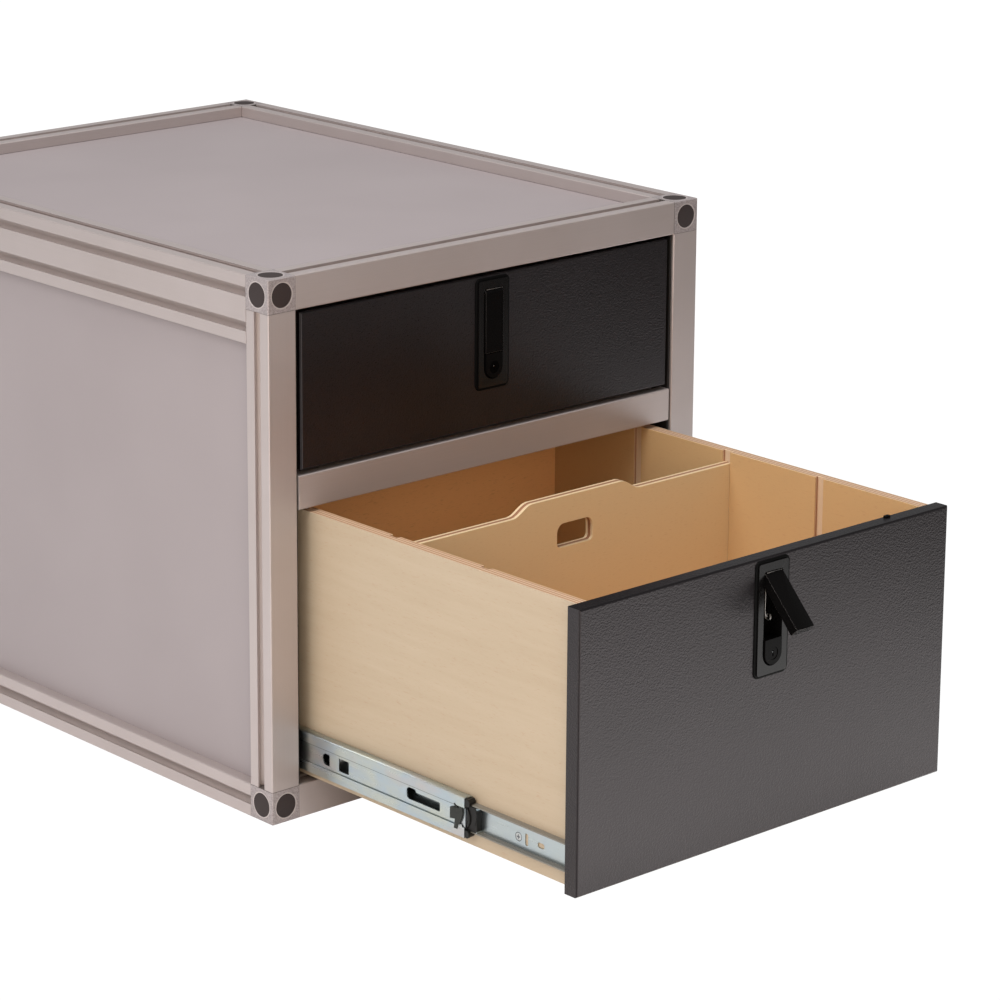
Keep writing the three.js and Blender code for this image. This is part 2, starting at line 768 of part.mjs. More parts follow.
function addHousing(drawer, levels) {
  const { top, bottom, pocketTop, pocketBottom, leverTip, tubTop, tubBottom, face } = levels;
  const half = latchWidth / 2;
  const corner = latchCornerRadius;
  const rim = sweepY(
    roundedRectangle(-half, bottom, half, top, [corner, corner, corner, corner], cornerFacets),
    face - latchProud, face,
  );
  const tubHalf = pocketWidth / 2 + tubWall;
  const tub = block(-tubHalf, face - tubFit, tubBottom, tubHalf, face + tubDepth, tubTop);
  const pocketHalf = pocketWidth / 2;
  const pocket = sweepY(
    roundedRectangle(
      -pocketHalf, pocketBottom, pocketHalf, pocketTop,
      [pocketHalf, pocketHalf, corner / 2, corner / 2], pocketFacets,
    ),
    face - latchProud * 2, face + tubDepth - tubFloor,
  );
  const pivot = pivotPlace(levels);
  const boreHalf = pocketHalf + pivotBoreReach;
  const bore = sweepX(circle(pivot.y, pivot.z, pivotRadius + pivotFit, pivotFacets), -boreHalf, boreHalf);
  const shell = cut(join(rim, tub), pocket, bore);
  const lockHalf = pocketHalf - lockBlockGap;
  const lockCentre = pocketBottom + pocketHalf;
  const lockFront = face - latchProud - leverProud;
  const lockBlock = sweepY(
    roundedRectangle(
      -lockHalf, lockCentre - lockHalf, lockHalf, leverTip - leverSideGap,
      [lockHalf, lockHalf, corner / 2, corner / 2], pocketFacets,
    ),
    lockFront, face + tubDepth - tubFit,
  );
  const plugSeat = sweepY(
    circle(0, lockCentre, lockPlugRadius + lockPlugFit, lockFacets),
    lockFront - lockPlugSink, lockFront + lockPlugSink + lockPlugLength + lockPlugSink,
  );
  add(`${drawer.name}_latch_housing`, cut(join(shell, lockBlock), plugSeat), latchMaterial);
  const plug = sweepY(
    circle(0, lockCentre, lockPlugRadius, lockFacets),
    lockFront + lockPlugSink, lockFront + lockPlugSink + lockPlugLength,
  );
  const keyway = block(
    -keywayWidth / 2, lockFront - lockPlugSink, lockCentre - keywayHeight / 2,
    keywayWidth / 2, lockFront + lockPlugSink + keywayDepth, lockCentre + keywayHeight / 2,
  );
  add(`${drawer.name}_lock_plug`, cut(plug, keyway), lockMaterial);
}

function pivotPlace({ leverTop, face }) {
  const radius = latchProud + leverProud + pivotDepth;
  return { y: face + pivotDepth, z: leverTop - radius, radius };
}

// The lever is made flush, and then turned on its pin by its lift
function addLever(drawer, levels) {
  const { leverTip, face } = levels;
  const pivot = pivotPlace(levels);
  const front = pivot.y - pivot.radius;
  const lipBack = front + leverLipDepth;
  const halfCircle = Array.from({ length: pocketFacets + 1 }, (_, i) => {
    const angle = fullTurn * (i / pocketFacets) / 2;
    return [pivot.y + pivot.radius * Math.cos(angle), pivot.z + pivot.radius * Math.sin(angle)];
  });
  const side = [...halfCircle, [front, leverTip], [lipBack, leverTip]];
  const half = pocketWidth / 2 - leverSideGap;
  const body = sweepX(side, -half, half);
  const hollowHalf = half - leverSkin;
  const hollow = block(
    -hollowHalf, front + leverSkin, leverTip + leverSkin,
    hollowHalf, lipBack + leverSkin, pivot.z - pivot.radius,
  );
  const pinHalf = pocketWidth / 2 + pivotReach;
  const pin = sweepX(circle(pivot.y, pivot.z, pivotRadius, pivotFacets), -pinHalf, pinHalf);
  const geometry = join(cut(body, hollow), pin);
  geometry.translate(0, -pivot.y, -pivot.z);
  geometry.rotateX(-THREE.MathUtils.degToRad(drawer.leverLift));
  geometry.translate(0, pivot.y, pivot.z);
  geometry.computeVertexNormals();
  add(`${drawer.name}_latch_lever`, geometry, latchMaterial);
}

function addBolt(drawer, levels) {
  const back = levels.face + faceThickness;
  const top = drawer.faceTop - boltDrop;
  const half = boltWidth / 2;
  const bolt = block(-half, back + boltFit, top - boltLength, half, back + boltFit + boltThickness, top);
  add(`${drawer.name}_latch_bolt`, bolt, latchMaterial);
}

function addLatch(drawer) {
  const levels = latchLevels(drawer);
  addHousing(drawer, levels);
  addLever(drawer, levels);
  addBolt(drawer, levels);
}

addPosts();
addCrossRails();
addSideRails();
addMidRail();
addCornerCubes();
addPanels();
addPlates();
for (const drawer of drawers) {
  addDrawer(drawer);
  addSlide(drawer, 'left', -1);
  addSlide(drawer, 'right', 1);
  addLatch(drawer);
}

// The origin is the middle of the whole at the floor, with the lower drawer and its lever as they stand
const whole = new THREE.Box3().setFromObject(group);
const middleY = (whole.min.y + whole.max.y) / 2;
for (const mesh of group.children) {
  mesh.geometry.translate(0, -middleY, 0);
}

export default group;
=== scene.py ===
import math
import bpy
import bmesh
import numpy as np
from mathutils import Matrix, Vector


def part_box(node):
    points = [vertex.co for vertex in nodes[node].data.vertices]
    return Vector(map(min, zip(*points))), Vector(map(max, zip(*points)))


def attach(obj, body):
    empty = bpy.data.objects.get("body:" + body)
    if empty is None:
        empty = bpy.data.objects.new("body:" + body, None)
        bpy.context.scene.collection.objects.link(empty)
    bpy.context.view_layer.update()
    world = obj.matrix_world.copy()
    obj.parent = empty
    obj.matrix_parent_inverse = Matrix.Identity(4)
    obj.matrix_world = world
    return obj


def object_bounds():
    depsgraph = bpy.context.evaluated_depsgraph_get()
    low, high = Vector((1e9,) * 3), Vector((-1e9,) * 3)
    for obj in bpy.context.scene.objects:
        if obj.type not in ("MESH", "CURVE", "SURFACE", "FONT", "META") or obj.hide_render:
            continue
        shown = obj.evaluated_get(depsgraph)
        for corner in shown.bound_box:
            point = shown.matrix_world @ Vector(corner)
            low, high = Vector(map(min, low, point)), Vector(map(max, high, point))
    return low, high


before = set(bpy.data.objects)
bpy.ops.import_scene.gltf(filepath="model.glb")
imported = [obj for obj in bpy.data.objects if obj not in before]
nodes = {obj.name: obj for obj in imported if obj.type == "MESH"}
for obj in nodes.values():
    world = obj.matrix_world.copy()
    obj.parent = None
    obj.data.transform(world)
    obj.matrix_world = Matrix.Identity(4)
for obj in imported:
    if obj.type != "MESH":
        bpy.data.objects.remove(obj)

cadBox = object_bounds()
print("frame loaded:", len(nodes), "nodes")

mm = 0.001
cubeNode = "corner_bottom_front_left"
outerLeft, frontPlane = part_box("post_front_left")[0][:2]    # outer front edge of the left post
barHalf = (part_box(cubeNode)[1].x - outerLeft) / 2           # half the side of a bar and of a cube


def linear(code):
    # each sRGB channel c becomes c/12.92 below 0.04045 and ((c+0.055)/1.055) to the power 2.4 above
    parts = [int(code[i:i + 2], 16) / 255 for i in (1, 3, 5)]
    return tuple(p / 12.92 if p <= 0.04045 else ((p + 0.055) / 1.055) ** 2.4 for p in parts) + (1,)


def feed(tree, socket, source):
    # the source is a value, a colour's code, another node's output, or a node whose first output is meant
    if isinstance(source, bpy.types.NodeSocket):
        tree.links.new(source, socket)
    elif isinstance(source, bpy.types.Node):
        tree.links.new(source.outputs[0], socket)
    else:
        socket.default_value = linear(source) if isinstance(source, str) else source


def addNode(tree, kind, inputs=None, **settings):
    # one node with its settings and what feeds its sockets
    node = tree.nodes.new(kind)
    for key, value in settings.items():
        setattr(node, key, value)
    for key, source in (inputs or {}).items():
        feed(tree, node.inputs[key], source)
    return node


def newMaterial(name):
    # one shader on the surface; where is a point's own place in metres, so that patterns keep their real size
    material = bpy.data.materials.new(name)
    material.use_nodes = True
    tree = material.node_tree
    tree.nodes.clear()
    shader = addNode(tree, "ShaderNodeBsdfPrincipled")
    addNode(tree, "ShaderNodeOutputMaterial", {"Surface": shader.outputs["BSDF"]})
    where = addNode(tree, "ShaderNodeTexCoord").outputs["Object"]
    return material, tree, shader, where


def stretched(along, times):
    # a grain that is so many times longer along one axis
    return [times if axis == along else 1 for axis in "xyz"]


def patternPlace(tree, where, size, stretch):
    # each coordinate is divided by size times its stretch, so one grain of the pattern is that wide
    scale = tuple(1 / (size * s) for s in stretch)
    return addNode(tree, "ShaderNodeMapping", {"Vector": where, "Scale": scale}).outputs["Vector"]


def noiseAt(tree, where, size, detail=2.0, stretch=(1, 1, 1), rough=0.5):
    # a cloudy value round 0.5, whose grains are size wide and stretched along an axis
    place = patternPlace(tree, where, size, stretch)
    return addNode(tree, "ShaderNodeTexNoise", {"Vector": place, "Scale": 1.0, "Detail": detail,
                                                "Roughness": rough}).outputs["Fac"]


def between(tree, factor, low, high, start=0.0, end=1.0):
    # a number that runs from low to high while the factor runs from start to end
    return addNode(tree, "ShaderNodeMapRange", {"Value": factor, "From Min": start, "From Max": end,
                                                "To Min": low, "To Max": high}).outputs["Result"]


def tinted(tree, factor, first, second):
    # each channel is first + factor (second - first)
    return addNode(tree, "ShaderNodeMix", {"Factor": factor, "A": first, "B": second},
                   data_type="RGBA").outputs["Result"]


def finishSkin(tree, shader, look, color, grain, height):
    # the roughness runs from its first value to its second with the grain, and the surface seems to rise by
    # the height times the relief's depth, of which the relief's strength is the share that shows
    depth, strength = look["relief"]
    bump = addNode(tree, "ShaderNodeBump", {"Height": height, "Distance": depth, "Strength": strength})
    feed(tree, shader.inputs["Base Color"], color)
    feed(tree, shader.inputs["Roughness"], between(tree, grain, *look["roughness"]))
    feed(tree, shader.inputs["Normal"], bump)


def foldedPlace(tree, where):
    # the frame is folded onto one corner: the distance from the frame's middle, less that of a cube's middle
    low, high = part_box(cubeNode)
    first, last = cadBox
    half = (high - low) / 2
    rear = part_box(cubeNode.replace("front", "rear"))[1].y
    middle = (0, (low.y + rear) / 2, (first.z + last.z) / 2)
    reach = (last.x - half.x, (rear - low.y) / 2 - half.y, (last.z - first.z) / 2 - half.z)
    place = addNode(tree, "ShaderNodeVectorMath", {0: where, 1: middle}, operation="SUBTRACT")
    place = addNode(tree, "ShaderNodeVectorMath", {0: place}, operation="ABSOLUTE")
    return addNode(tree, "ShaderNodeVectorMath", {0: place, 1: reach}, operation="SUBTRACT")


# champagne anodised extrusion: a soft satin metal with faint drawing lines along the bar; inside its slots
# the colour is paler, painted light for the light that reaches in there
frameLook = {"light": "#BCB1AF", "dark": "#B4A9A6", "slot": "#C5B8B4", "metallic": 0.55,
             "roughness": (0.37, 0.49), "line": 0.35 * mm, "lineLength": 400, "cloud": 60 * mm,
             "fine": 0.5 * mm, "fineShare": 0.4, "contrast": (0.3, 0.7), "skin": 0.9 * mm,
             "fade": 0.2 * mm, "relief": (0.02 * mm, 0.35)}


def anodisedAluminium(along):
    # the tone is half lines and half cloud; a point lies in a slot where the larger of its two distances from
    # the bar's axis is less than half the bar less its skin, and there it takes the paler slot colour:
    # painted light
    look = frameLook
    material, tree, shader, where = newMaterial("anodised_aluminium_" + along)
    lines = noiseAt(tree, where, look["line"], 3, stretched(along, look["lineLength"]))
    cloud = noiseAt(tree, where, look["cloud"])
    fine = noiseAt(tree, where, look["fine"])
    mixed = addNode(tree, "ShaderNodeMath", {0: cloud, 1: 0.5}, operation="MULTIPLY")
    mixed = addNode(tree, "ShaderNodeMath", {0: lines, 1: 0.5, 2: mixed}, operation="MULTIPLY_ADD")
    color = tinted(tree, between(tree, mixed, 0, 1, *look["contrast"]), look["dark"], look["light"])
    parts = addNode(tree, "ShaderNodeSeparateXYZ", {"Vector": foldedPlace(tree, where)}).outputs
    across = []
    for axis in range(3):
        if "xyz"[axis] != along:
            cell = parts[axis]
            if along == "y" and axis == 2:    # the double rails at the top are two bars, one on the other
                cell = addNode(tree, "ShaderNodeMath", {0: cell, 1: barHalf, 2: -barHalf}, operation="WRAP")
            across.append(addNode(tree, "ShaderNodeMath", {0: cell}, operation="ABSOLUTE"))
    outside = addNode(tree, "ShaderNodeMath", {0: across[0], 1: across[1]}, operation="MAXIMUM")
    depth = barHalf - look["skin"]
    # inside the slots the colour turns paler: painted light
    color = tinted(tree, between(tree, outside, 1, 0, depth - look["fade"], depth), color, look["slot"])
    height = addNode(tree, "ShaderNodeMath", {0: fine, 1: look["fineShare"], 2: lines},
                     operation="MULTIPLY_ADD")
    shader.inputs["Metallic"].default_value = look["metallic"]
    finishSkin(tree, shader, look, color, lines, height)
    return material


# die-cast corner cube, painted like the bars: a gritty skin, a paler ring round each cap, and a dark
# line where the bars meet it
cubeLook = {"light": "#B1A7A7", "dark": "#928989", "rim": "#C6BCB9", "joint": "#5E5855", "metallic": 0.45,
            "roughness": (0.44, 0.58), "grit": 1.1 * mm, "contrast": (0.35, 0.65), "ring": 11.3 * mm,
            "ringWidth": (0.25 * mm, 0.5 * mm), "ringDepth": (1.2 * mm, 0.8 * mm),
            "jointWidth": (0.2 * mm, 0.45 * mm), "relief": (0.06 * mm, 0.5)}


def castCube():
    # on each of the three axes a ring shows where the distance from the cube's axis is near the ring's radius
    look = cubeLook
    material, tree, shader, where = newMaterial("painted_zinc_casting")
    grit = noiseAt(tree, where, look["grit"], 3)
    color = tinted(tree, between(tree, grit, 0, 1, *look["contrast"]), look["dark"], look["light"])
    place = foldedPlace(tree, where)
    parts = addNode(tree, "ShaderNodeSeparateXYZ", {"Vector": place}).outputs
    for axis in range(3):
        flat = [1, 1, 1]
        flat[axis] = 0
        across = addNode(tree, "ShaderNodeVectorMath", {0: place, 1: flat}, operation="MULTIPLY")
        radius = addNode(tree, "ShaderNodeVectorMath", {0: across}, operation="LENGTH").outputs["Value"]
        away = addNode(tree, "ShaderNodeMath", {0: radius, 1: look["ring"]}, operation="SUBTRACT")
        away = addNode(tree, "ShaderNodeMath", {0: away}, operation="ABSOLUTE")
        ring = between(tree, away, 1, 0, *look["ringWidth"])
        onFace = between(tree, parts[axis], 0, 1, *[barHalf - depth for depth in look["ringDepth"]])
        ring = addNode(tree, "ShaderNodeMath", {0: ring, 1: onFace}, operation="MULTIPLY")
        color = tinted(tree, ring, color, look["rim"])
    inner = addNode(tree, "ShaderNodeMath", {0: parts[0], 1: parts[1]}, operation="MINIMUM")
    inner = addNode(tree, "ShaderNodeMath", {0: inner, 1: parts[2]}, operation="MINIMUM")
    joint = between(tree, inner, 1, 0, *[width - barHalf for width in look["jointWidth"]])
    shader.inputs["Metallic"].default_value = look["metallic"]
    finishSkin(tree, shader, look, tinted(tree, joint, color, look["joint"]), grit, grit)
    return material


# smooth coated sheet: matte, nearly even, with a very fine spray grain
panelLook = {"light": "#998F90", "dark": "#968C8D", "roughness": (0.45, 0.55), "grain": 0.9 * mm,
             "cloud": 150 * mm, "contrast": (0.35, 0.65), "relief": (0.03 * mm, 0.3)}


def coatedPanel():
    # a wide cloud sets the tone and a fine grain the roughness and the bump
    look = panelLook
    material, tree, shader, where = newMaterial("coated_composite_sheet")
    cloud = noiseAt(tree, where, look["cloud"])
    grain = noiseAt(tree, where, look["grain"], 3)
    color = tinted(tree, between(tree, cloud, 0, 1, *look["contrast"]), look["dark"], look["light"])
    finishSkin(tree, shader, look, color, grain, grain)
    return material


# dark laminate pressed with a pebble grain, which breaks up its low sheen, and a dark seam where the edge
# band meets its front
faceLook = {"light": "#191618", "dark": "#110F11", "seam": "#0A090A", "sheen": "#FFF4F6",
            "roughness": (0.22, 0.38), "gloss": (0.42, 0.03), "topDull": 0.7, "topEdge": (0.3 * mm, 0.1 * mm),
            "pebble": 1.5 * mm, "pebbleStretch": (1.25, 1, 1), "softness": 0.6, "fine": 0.6 * mm,
            "cloud": 90 * mm, "fineShare": 0.6, "contrast": (0.6, 1.05), "seamWidth": 1.2 * mm,
            "seamFade": (0.5, 0.6), "reliefShare": 0.5, "relief": (0.3 * mm, 0.55)}


def pebbledLaminate(name):
    # the seam lies where both the distance from the nearest border and the depth behind the front are small
    look = faceLook
    material, tree, shader, where = newMaterial("pebbled_dark_laminate_" + name)
    place = patternPlace(tree, where, look["pebble"], look["pebbleStretch"])
    pebble = addNode(tree, "ShaderNodeTexVoronoi",
                     {"Vector": place, "Scale": 1.0, "Smoothness": look["softness"]},
                     feature="SMOOTH_F1").outputs["Distance"]
    fine = noiseAt(tree, where, look["fine"], 3)
    cloud = noiseAt(tree, where, look["cloud"], 3)
    shade = addNode(tree, "ShaderNodeMath", {0: fine, 1: look["fineShare"], 2: cloud},
                    operation="MULTIPLY_ADD")
    color = tinted(tree, between(tree, shade, 0, 1, *look["contrast"]), look["dark"], look["light"])
    low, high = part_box(name)
    parts = addNode(tree, "ShaderNodeSeparateXYZ", {"Vector": where}).outputs
    borders = [(0, low.x, 1), (0, high.x, -1), (2, low.z, 1), (2, high.z, -1)]
    inward = [addNode(tree, "ShaderNodeMath", {0: parts[axis], 1: sign, 2: -sign * border},
                      operation="MULTIPLY_ADD") for axis, border, sign in borders]
    nearest = inward[0]
    for distance in inward[1:]:
        nearest = addNode(tree, "ShaderNodeMath", {0: nearest, 1: distance}, operation="MINIMUM")
    width = look["seamWidth"]
    atBorder = between(tree, nearest, 1, 0, width * look["seamFade"][0], width)
    atFront = between(tree, parts[1], 1, 0, low.y + width * look["seamFade"][1], low.y + width)
    seam = addNode(tree, "ShaderNodeMath", {0: atBorder, 1: atFront}, operation="MULTIPLY")
    dull = between(tree, parts[2], 0, look["topDull"], *[high.z - depth for depth in look["topEdge"]])
    dull = addNode(tree, "ShaderNodeMath", {0: dull, 1: seam}, operation="MAXIMUM")
    feed(tree, shader.inputs["Specular IOR Level"], between(tree, dull, *look["gloss"]))
    shader.inputs["Specular Tint"].default_value = linear(look["sheen"])
    height = addNode(tree, "ShaderNodeMath", {0: fine, 1: look["reliefShare"], 2: pebble},
                     operation="MULTIPLY_ADD")
    finishSkin(tree, shader, look, tinted(tree, seam, color, look["seam"]), fine, height)
    return material


# rotary-cut birch: pale veneers with long soft figure, painted brighter and warmer inside the box for the
# light that bounces there, and at the edges the plies in turn along and across, with dark glue lines; a grain
# has its width and how many times longer it is
plyLook = {"pale": "#B7A58D", "figure": "#AE9A80", "inner": "#F5C58F", "wallBounceTone": "#BF9D70", "middle": "#D2BB93",
           "edge": "#D2B697", "cross": "#A37456", "heart": "#8A5B3C", "glue": "#74452E", "fleck": "#8F6A48",
           "plies": 7, "middlePlies": 3, "glueWidth": 0.13, "glueShare": 0.75, "edgeShare": 0.8,
           "crossShare": (0.85, 1.0), "roughness": (0.42, 0.56), "relief": (0.05 * mm, 0.3),
           "fine": 0.45 * mm, "figureGrain": (9 * mm, 14), "wideGrain": (55 * mm, 14), "wideShare": 0.55,
           "poreGrain": (0.7 * mm, 9), "fleckGrain": (3.2 * mm, 5), "figureContrast": (0.45, 1.25),
           "fleckContrast": (0.76, 0.86), "fleckShare": 0.4, "poreContrast": (0.6, 0.78), "poreShare": 0.35}


def birchPlywood(name, node, through, along, inner, tone):
    # depth counts the plies through the board; inner is 1 where the inside lies at the high end of the
    # thickness, 0 at the low end and 2 where both sides are inside
    look = plyLook
    plies = look["middlePlies"] if inner == 2 else look["plies"]
    low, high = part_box(node)
    axis = "xyz".index(through)
    material, tree, shader, where = newMaterial(name)
    parts = addNode(tree, "ShaderNodeSeparateXYZ", {"Vector": where})
    depth = between(tree, parts.outputs[axis], 0, plies, low[axis], high[axis])
    depth = addNode(tree, "ShaderNodeClamp", {"Value": depth, "Min": 0.02, "Max": plies - 0.02})
    parity = addNode(tree, "ShaderNodeMath", {0: depth, 1: 2.0}, operation="FLOORED_MODULO")
    isCross = addNode(tree, "ShaderNodeMath", {0: parity, 1: 1.0}, operation="GREATER_THAN")
    edge = addNode(tree, "ShaderNodeMath", {0: depth, 1: 1.0}, operation="PINGPONG")
    inside = addNode(tree, "ShaderNodeMath", {0: depth, 1: 0.5}, operation="GREATER_THAN")
    below = addNode(tree, "ShaderNodeMath", {0: depth, 1: plies - 0.5}, operation="LESS_THAN")
    inside = addNode(tree, "ShaderNodeMath", {0: inside, 1: below}, operation="MULTIPLY")
    glue = between(tree, edge, 1, 0, 0.0, look["glueWidth"])
    glue = addNode(tree, "ShaderNodeMath", {0: glue, 1: inside}, operation="MULTIPLY")

    def grain(kind, detail, rough=0.5):
        size, times = look[kind]
        return noiseAt(tree, where, size, detail, stretched(along, times), rough)

    figure = grain("figureGrain", 4, 0.6)
    pores = grain("poreGrain", 2)
    mixed = addNode(tree, "ShaderNodeMath", {0: grain("wideGrain", 2), 1: look["wideShare"], 2: figure},
                    operation="MULTIPLY_ADD")
    face = tinted(tree, between(tree, mixed, 0, 1, *look["figureContrast"]), look["pale"], look["figure"])
    ends = {0: (0.8, 0.5), 1: (plies - 0.8, plies - 0.5), 2: (-1, 0)}[inner]    # where its tone changes
    # the inside face takes a brighter, warmer tone, set board by board: painted bounce light
    face = tinted(tree, between(tree, depth, 0, 1, *ends), face, look[tone])
    flecks = between(tree, grain("fleckGrain", 1), 0, look["fleckShare"], *look["fleckContrast"])
    face = tinted(tree, flecks, face, look["fleck"])
    dark = between(tree, pores, 0, look["poreShare"], *look["poreContrast"])
    face = tinted(tree, dark, face, look["cross"])
    core = addNode(tree, "ShaderNodeMath", {0: inside, 1: look["edgeShare"]}, operation="MULTIPLY")
    color = tinted(tree, core, face, look["edge"])
    cross = between(tree, noiseAt(tree, where, look["fine"]), *look["crossShare"])
    cross = addNode(tree, "ShaderNodeMath", {0: isCross, 1: cross}, operation="MULTIPLY")
    color = tinted(tree, cross, color, look["heart"] if inner == 2 else look["cross"])
    color = tinted(tree, between(tree, glue, 0, look["glueShare"]), color, look["glue"])
    finishSkin(tree, shader, look, color, figure, pores)
    return material


# gloss black coat on the rim of a latch, and inside its pocket a duller, darker black: partly the lock
# block's own black, partly painted shade of the recess
latchLook = {"base": "#0E0D0D", "deep": "#0A0909", "gloss": (0.28, 0.05), "roughness": (0.17, 0.29),
             "peel": 0.5 * mm, "pocket": 11 * mm, "margin": 6.5 * mm, "fade": 0.1 * mm,
             "top": (7.6 * mm, 7.4 * mm), "relief": (0.03 * mm, 0.4)}


def latchPaint(drawer):
    # a point is in the pocket where its distance from the pocket's upright middle line, which ends in a half
    # circle at the bottom, is less than the pocket's half width
    look = latchLook
    material, tree, shader, where = newMaterial("black_powder_coat_" + drawer + "_latch")
    low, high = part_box(drawer + "_latch_housing")
    parts = addNode(tree, "ShaderNodeSeparateXYZ", {"Vector": where}).outputs
    end = low.z + look["margin"] + look["pocket"]
    under = addNode(tree, "ShaderNodeMath", {0: parts[2], 1: end}, operation="SUBTRACT")
    under = addNode(tree, "ShaderNodeMath", {0: under, 1: 0.0}, operation="MINIMUM")
    reach = addNode(tree, "ShaderNodeCombineXYZ", {0: parts[0], 1: under})
    reach = addNode(tree, "ShaderNodeVectorMath", {0: reach}, operation="LENGTH").outputs["Value"]
    within = between(tree, reach, 1, 0, look["pocket"] - look["fade"], look["pocket"] + look["fade"])
    below = between(tree, parts[2], 1, 0, *[high.z - depth for depth in look["top"]])
    within = addNode(tree, "ShaderNodeMath", {0: within, 1: below}, operation="MULTIPLY")
    peel = noiseAt(tree, where, look["peel"])
    feed(tree, shader.inputs["Specular IOR Level"], between(tree, within, *look["gloss"]))
    # inside the pocket the black turns darker: partly the lock block's own colour, partly painted shade
    finishSkin(tree, shader, look, tinted(tree, within, look["base"], look["deep"]), peel, peel)
    return material


# bright zinc plate: a soft mirror with blue, yellow and pink clouds from the passivation; on the middle
# member a dark line of painted shade where the flat web turns into its upper ball track, and on the drawer
# member duller, darker flanges, also painted shade
slideLook = {"blue": "#ABB7BE", "yellow": "#B5BBB5", "pink": "#B6B3B4", "pale": "#7E7A72", "cold": "#ADB7BB",
             "bendShade": "#4C5048", "patch": 14 * mm, "patchLength": 2, "wider": 1.6, "fine": 1.2 * mm,
             "fineLength": 30, "yellowContrast": (0.38, 0.62), "pinkContrast": (0.52, 0.68), "pinkShare": 0.8,
             "flange": 10.8 * mm, "flangeFade": 0.1 * mm, "flangeMetallic": 0.3, "coldShare": (0.5, 0.9),
             "bend": 8.5 * mm, "bendWidth": (0.25 * mm, 0.6 * mm), "bendShadeShare": 0.8,
             "roughness": (0.22, 0.38), "relief": (0.03 * mm, 0.3)}


def zincSteel(drawer, member):
    # heights count from the member's middle: past the flange height the drawer member is a duller, darker
    # grey, painted shade on its flanges, and the middle member has a dark line of painted shade near the bend
    # height
    look = slideLook
    material, tree, shader, where = newMaterial("bright_zinc_steel_" + drawer + "_" + member)
    long = stretched("y", look["patchLength"])
    patch = noiseAt(tree, where, look["patch"], 3, long)
    other = noiseAt(tree, where, look["patch"] * look["wider"], 2, long)
    fine = noiseAt(tree, where, look["fine"], 3, stretched("y", look["fineLength"]))
    color = tinted(tree, between(tree, patch, 0, 1, *look["yellowContrast"]), look["blue"], look["yellow"])
    pink = between(tree, other, 0, look["pinkShare"], *look["pinkContrast"])
    color = tinted(tree, pink, color, look["pink"])
    low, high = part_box(drawer + "_left_slide_" + member)
    middle = (low.z + high.z) / 2
    height = addNode(tree, "ShaderNodeSeparateXYZ", {"Vector": where}).outputs[2]

    def awayFrom(line):
        away = addNode(tree, "ShaderNodeMath", {0: height, 1: line}, operation="SUBTRACT")
        return addNode(tree, "ShaderNodeMath", {0: away}, operation="ABSOLUTE")

    shader.inputs["Metallic"].default_value = 1.0
    if member == "drawer":
        start, end = look["flange"] - look["flangeFade"], look["flange"] + look["flangeFade"]
        flange = between(tree, awayFrom(middle), 0, 1, start, end)
        feed(tree, shader.inputs["Metallic"], between(tree, flange, 1.0, look["flangeMetallic"]))
        color = tinted(tree, between(tree, patch, *look["coldShare"]), color, look["cold"])
        # past the flange height the colour turns darker: painted shade
        color = tinted(tree, flange, color, look["pale"])
    if member == "middle":
        # a dark line near the bend height: painted shade
        bendShade = between(tree, awayFrom(middle + look["bend"]), look["bendShadeShare"], 0, *look["bendWidth"])
        color = tinted(tree, bendShade, color, look["bendShade"])
    finishSkin(tree, shader, look, color, fine, fine)
    return material


def evenSkin(name, look):
    # one colour all over, with a fine grain in its roughness and its bump; a look that doesn't say so is no
    # metal, and has the gloss of common paint
    material, tree, shader, where = newMaterial(name)
    grain = noiseAt(tree, where, look["grain"])
    shader.inputs["Metallic"].default_value = look.get("metallic", 0)
    shader.inputs["Specular IOR Level"].default_value = look.get("gloss", 0.5)
    finishSkin(tree, shader, look, look["base"], grain, grain)
    return material


capLook = {"base": "#2A1E1D", "roughness": (0.57, 0.69), "grain": 0.6 * mm, "relief": (0.06 * mm, 0.4)}
leverLook = {"base": "#0A0909", "gloss": 0.05, "roughness": (0.20, 0.32), "grain": 0.5 * mm,
             "relief": (0.03 * mm, 0.4)}
# grey metal for the lever's rounded edges: a painted highlight
leverEdgeHighlightLook = {"base": "#5C5856", "metallic": 0.6, "roughness": (0.35, 0.47), "grain": 0.5 * mm,
            "relief": (0.02 * mm, 0.4)}
rubberLook = {"base": "#0A0A0A", "gloss": 0.05, "roughness": (0.45, 0.57), "grain": 0.6 * mm,
              "relief": (0.03 * mm, 0.4)}
noseLook = {"base": "#141312", "gloss": 0.25, "roughness": (0.35, 0.47), "grain": 0.6 * mm,
            "relief": (0.03 * mm, 0.4)}
catchLook = {"base": "#2E302D", "metallic": 0.6, "roughness": (0.40, 0.52), "grain": 1.5 * mm,
             "relief": (0.03 * mm, 0.4)}
plateLook = {"base": "#2A2827", "metallic": 0.5, "roughness": (0.45, 0.57), "grain": 0.8 * mm,
             "relief": (0.02 * mm, 0.4)}
lockLook = {"base": "#0B0A0A", "metallic": 1, "roughness": (0.15, 0.27), "grain": 0.5 * mm,
            "relief": (0.01 * mm, 0.4)}
screwLook = {"base": "#B9BCBC", "metallic": 1, "roughness": (0.23, 0.35), "grain": 0.5 * mm,
             "relief": (0.01 * mm, 0.4)}
recessLook = {"base": "#4E5257", "roughness": (0.45, 0.57), "grain": 0.5 * mm, "relief": (0.01 * mm, 0.4)}
springLook = {"base": "#8E8A86", "metallic": 1, "roughness": (0.35, 0.47), "grain": 0.5 * mm,
              "relief": (0.01 * mm, 0.4)}

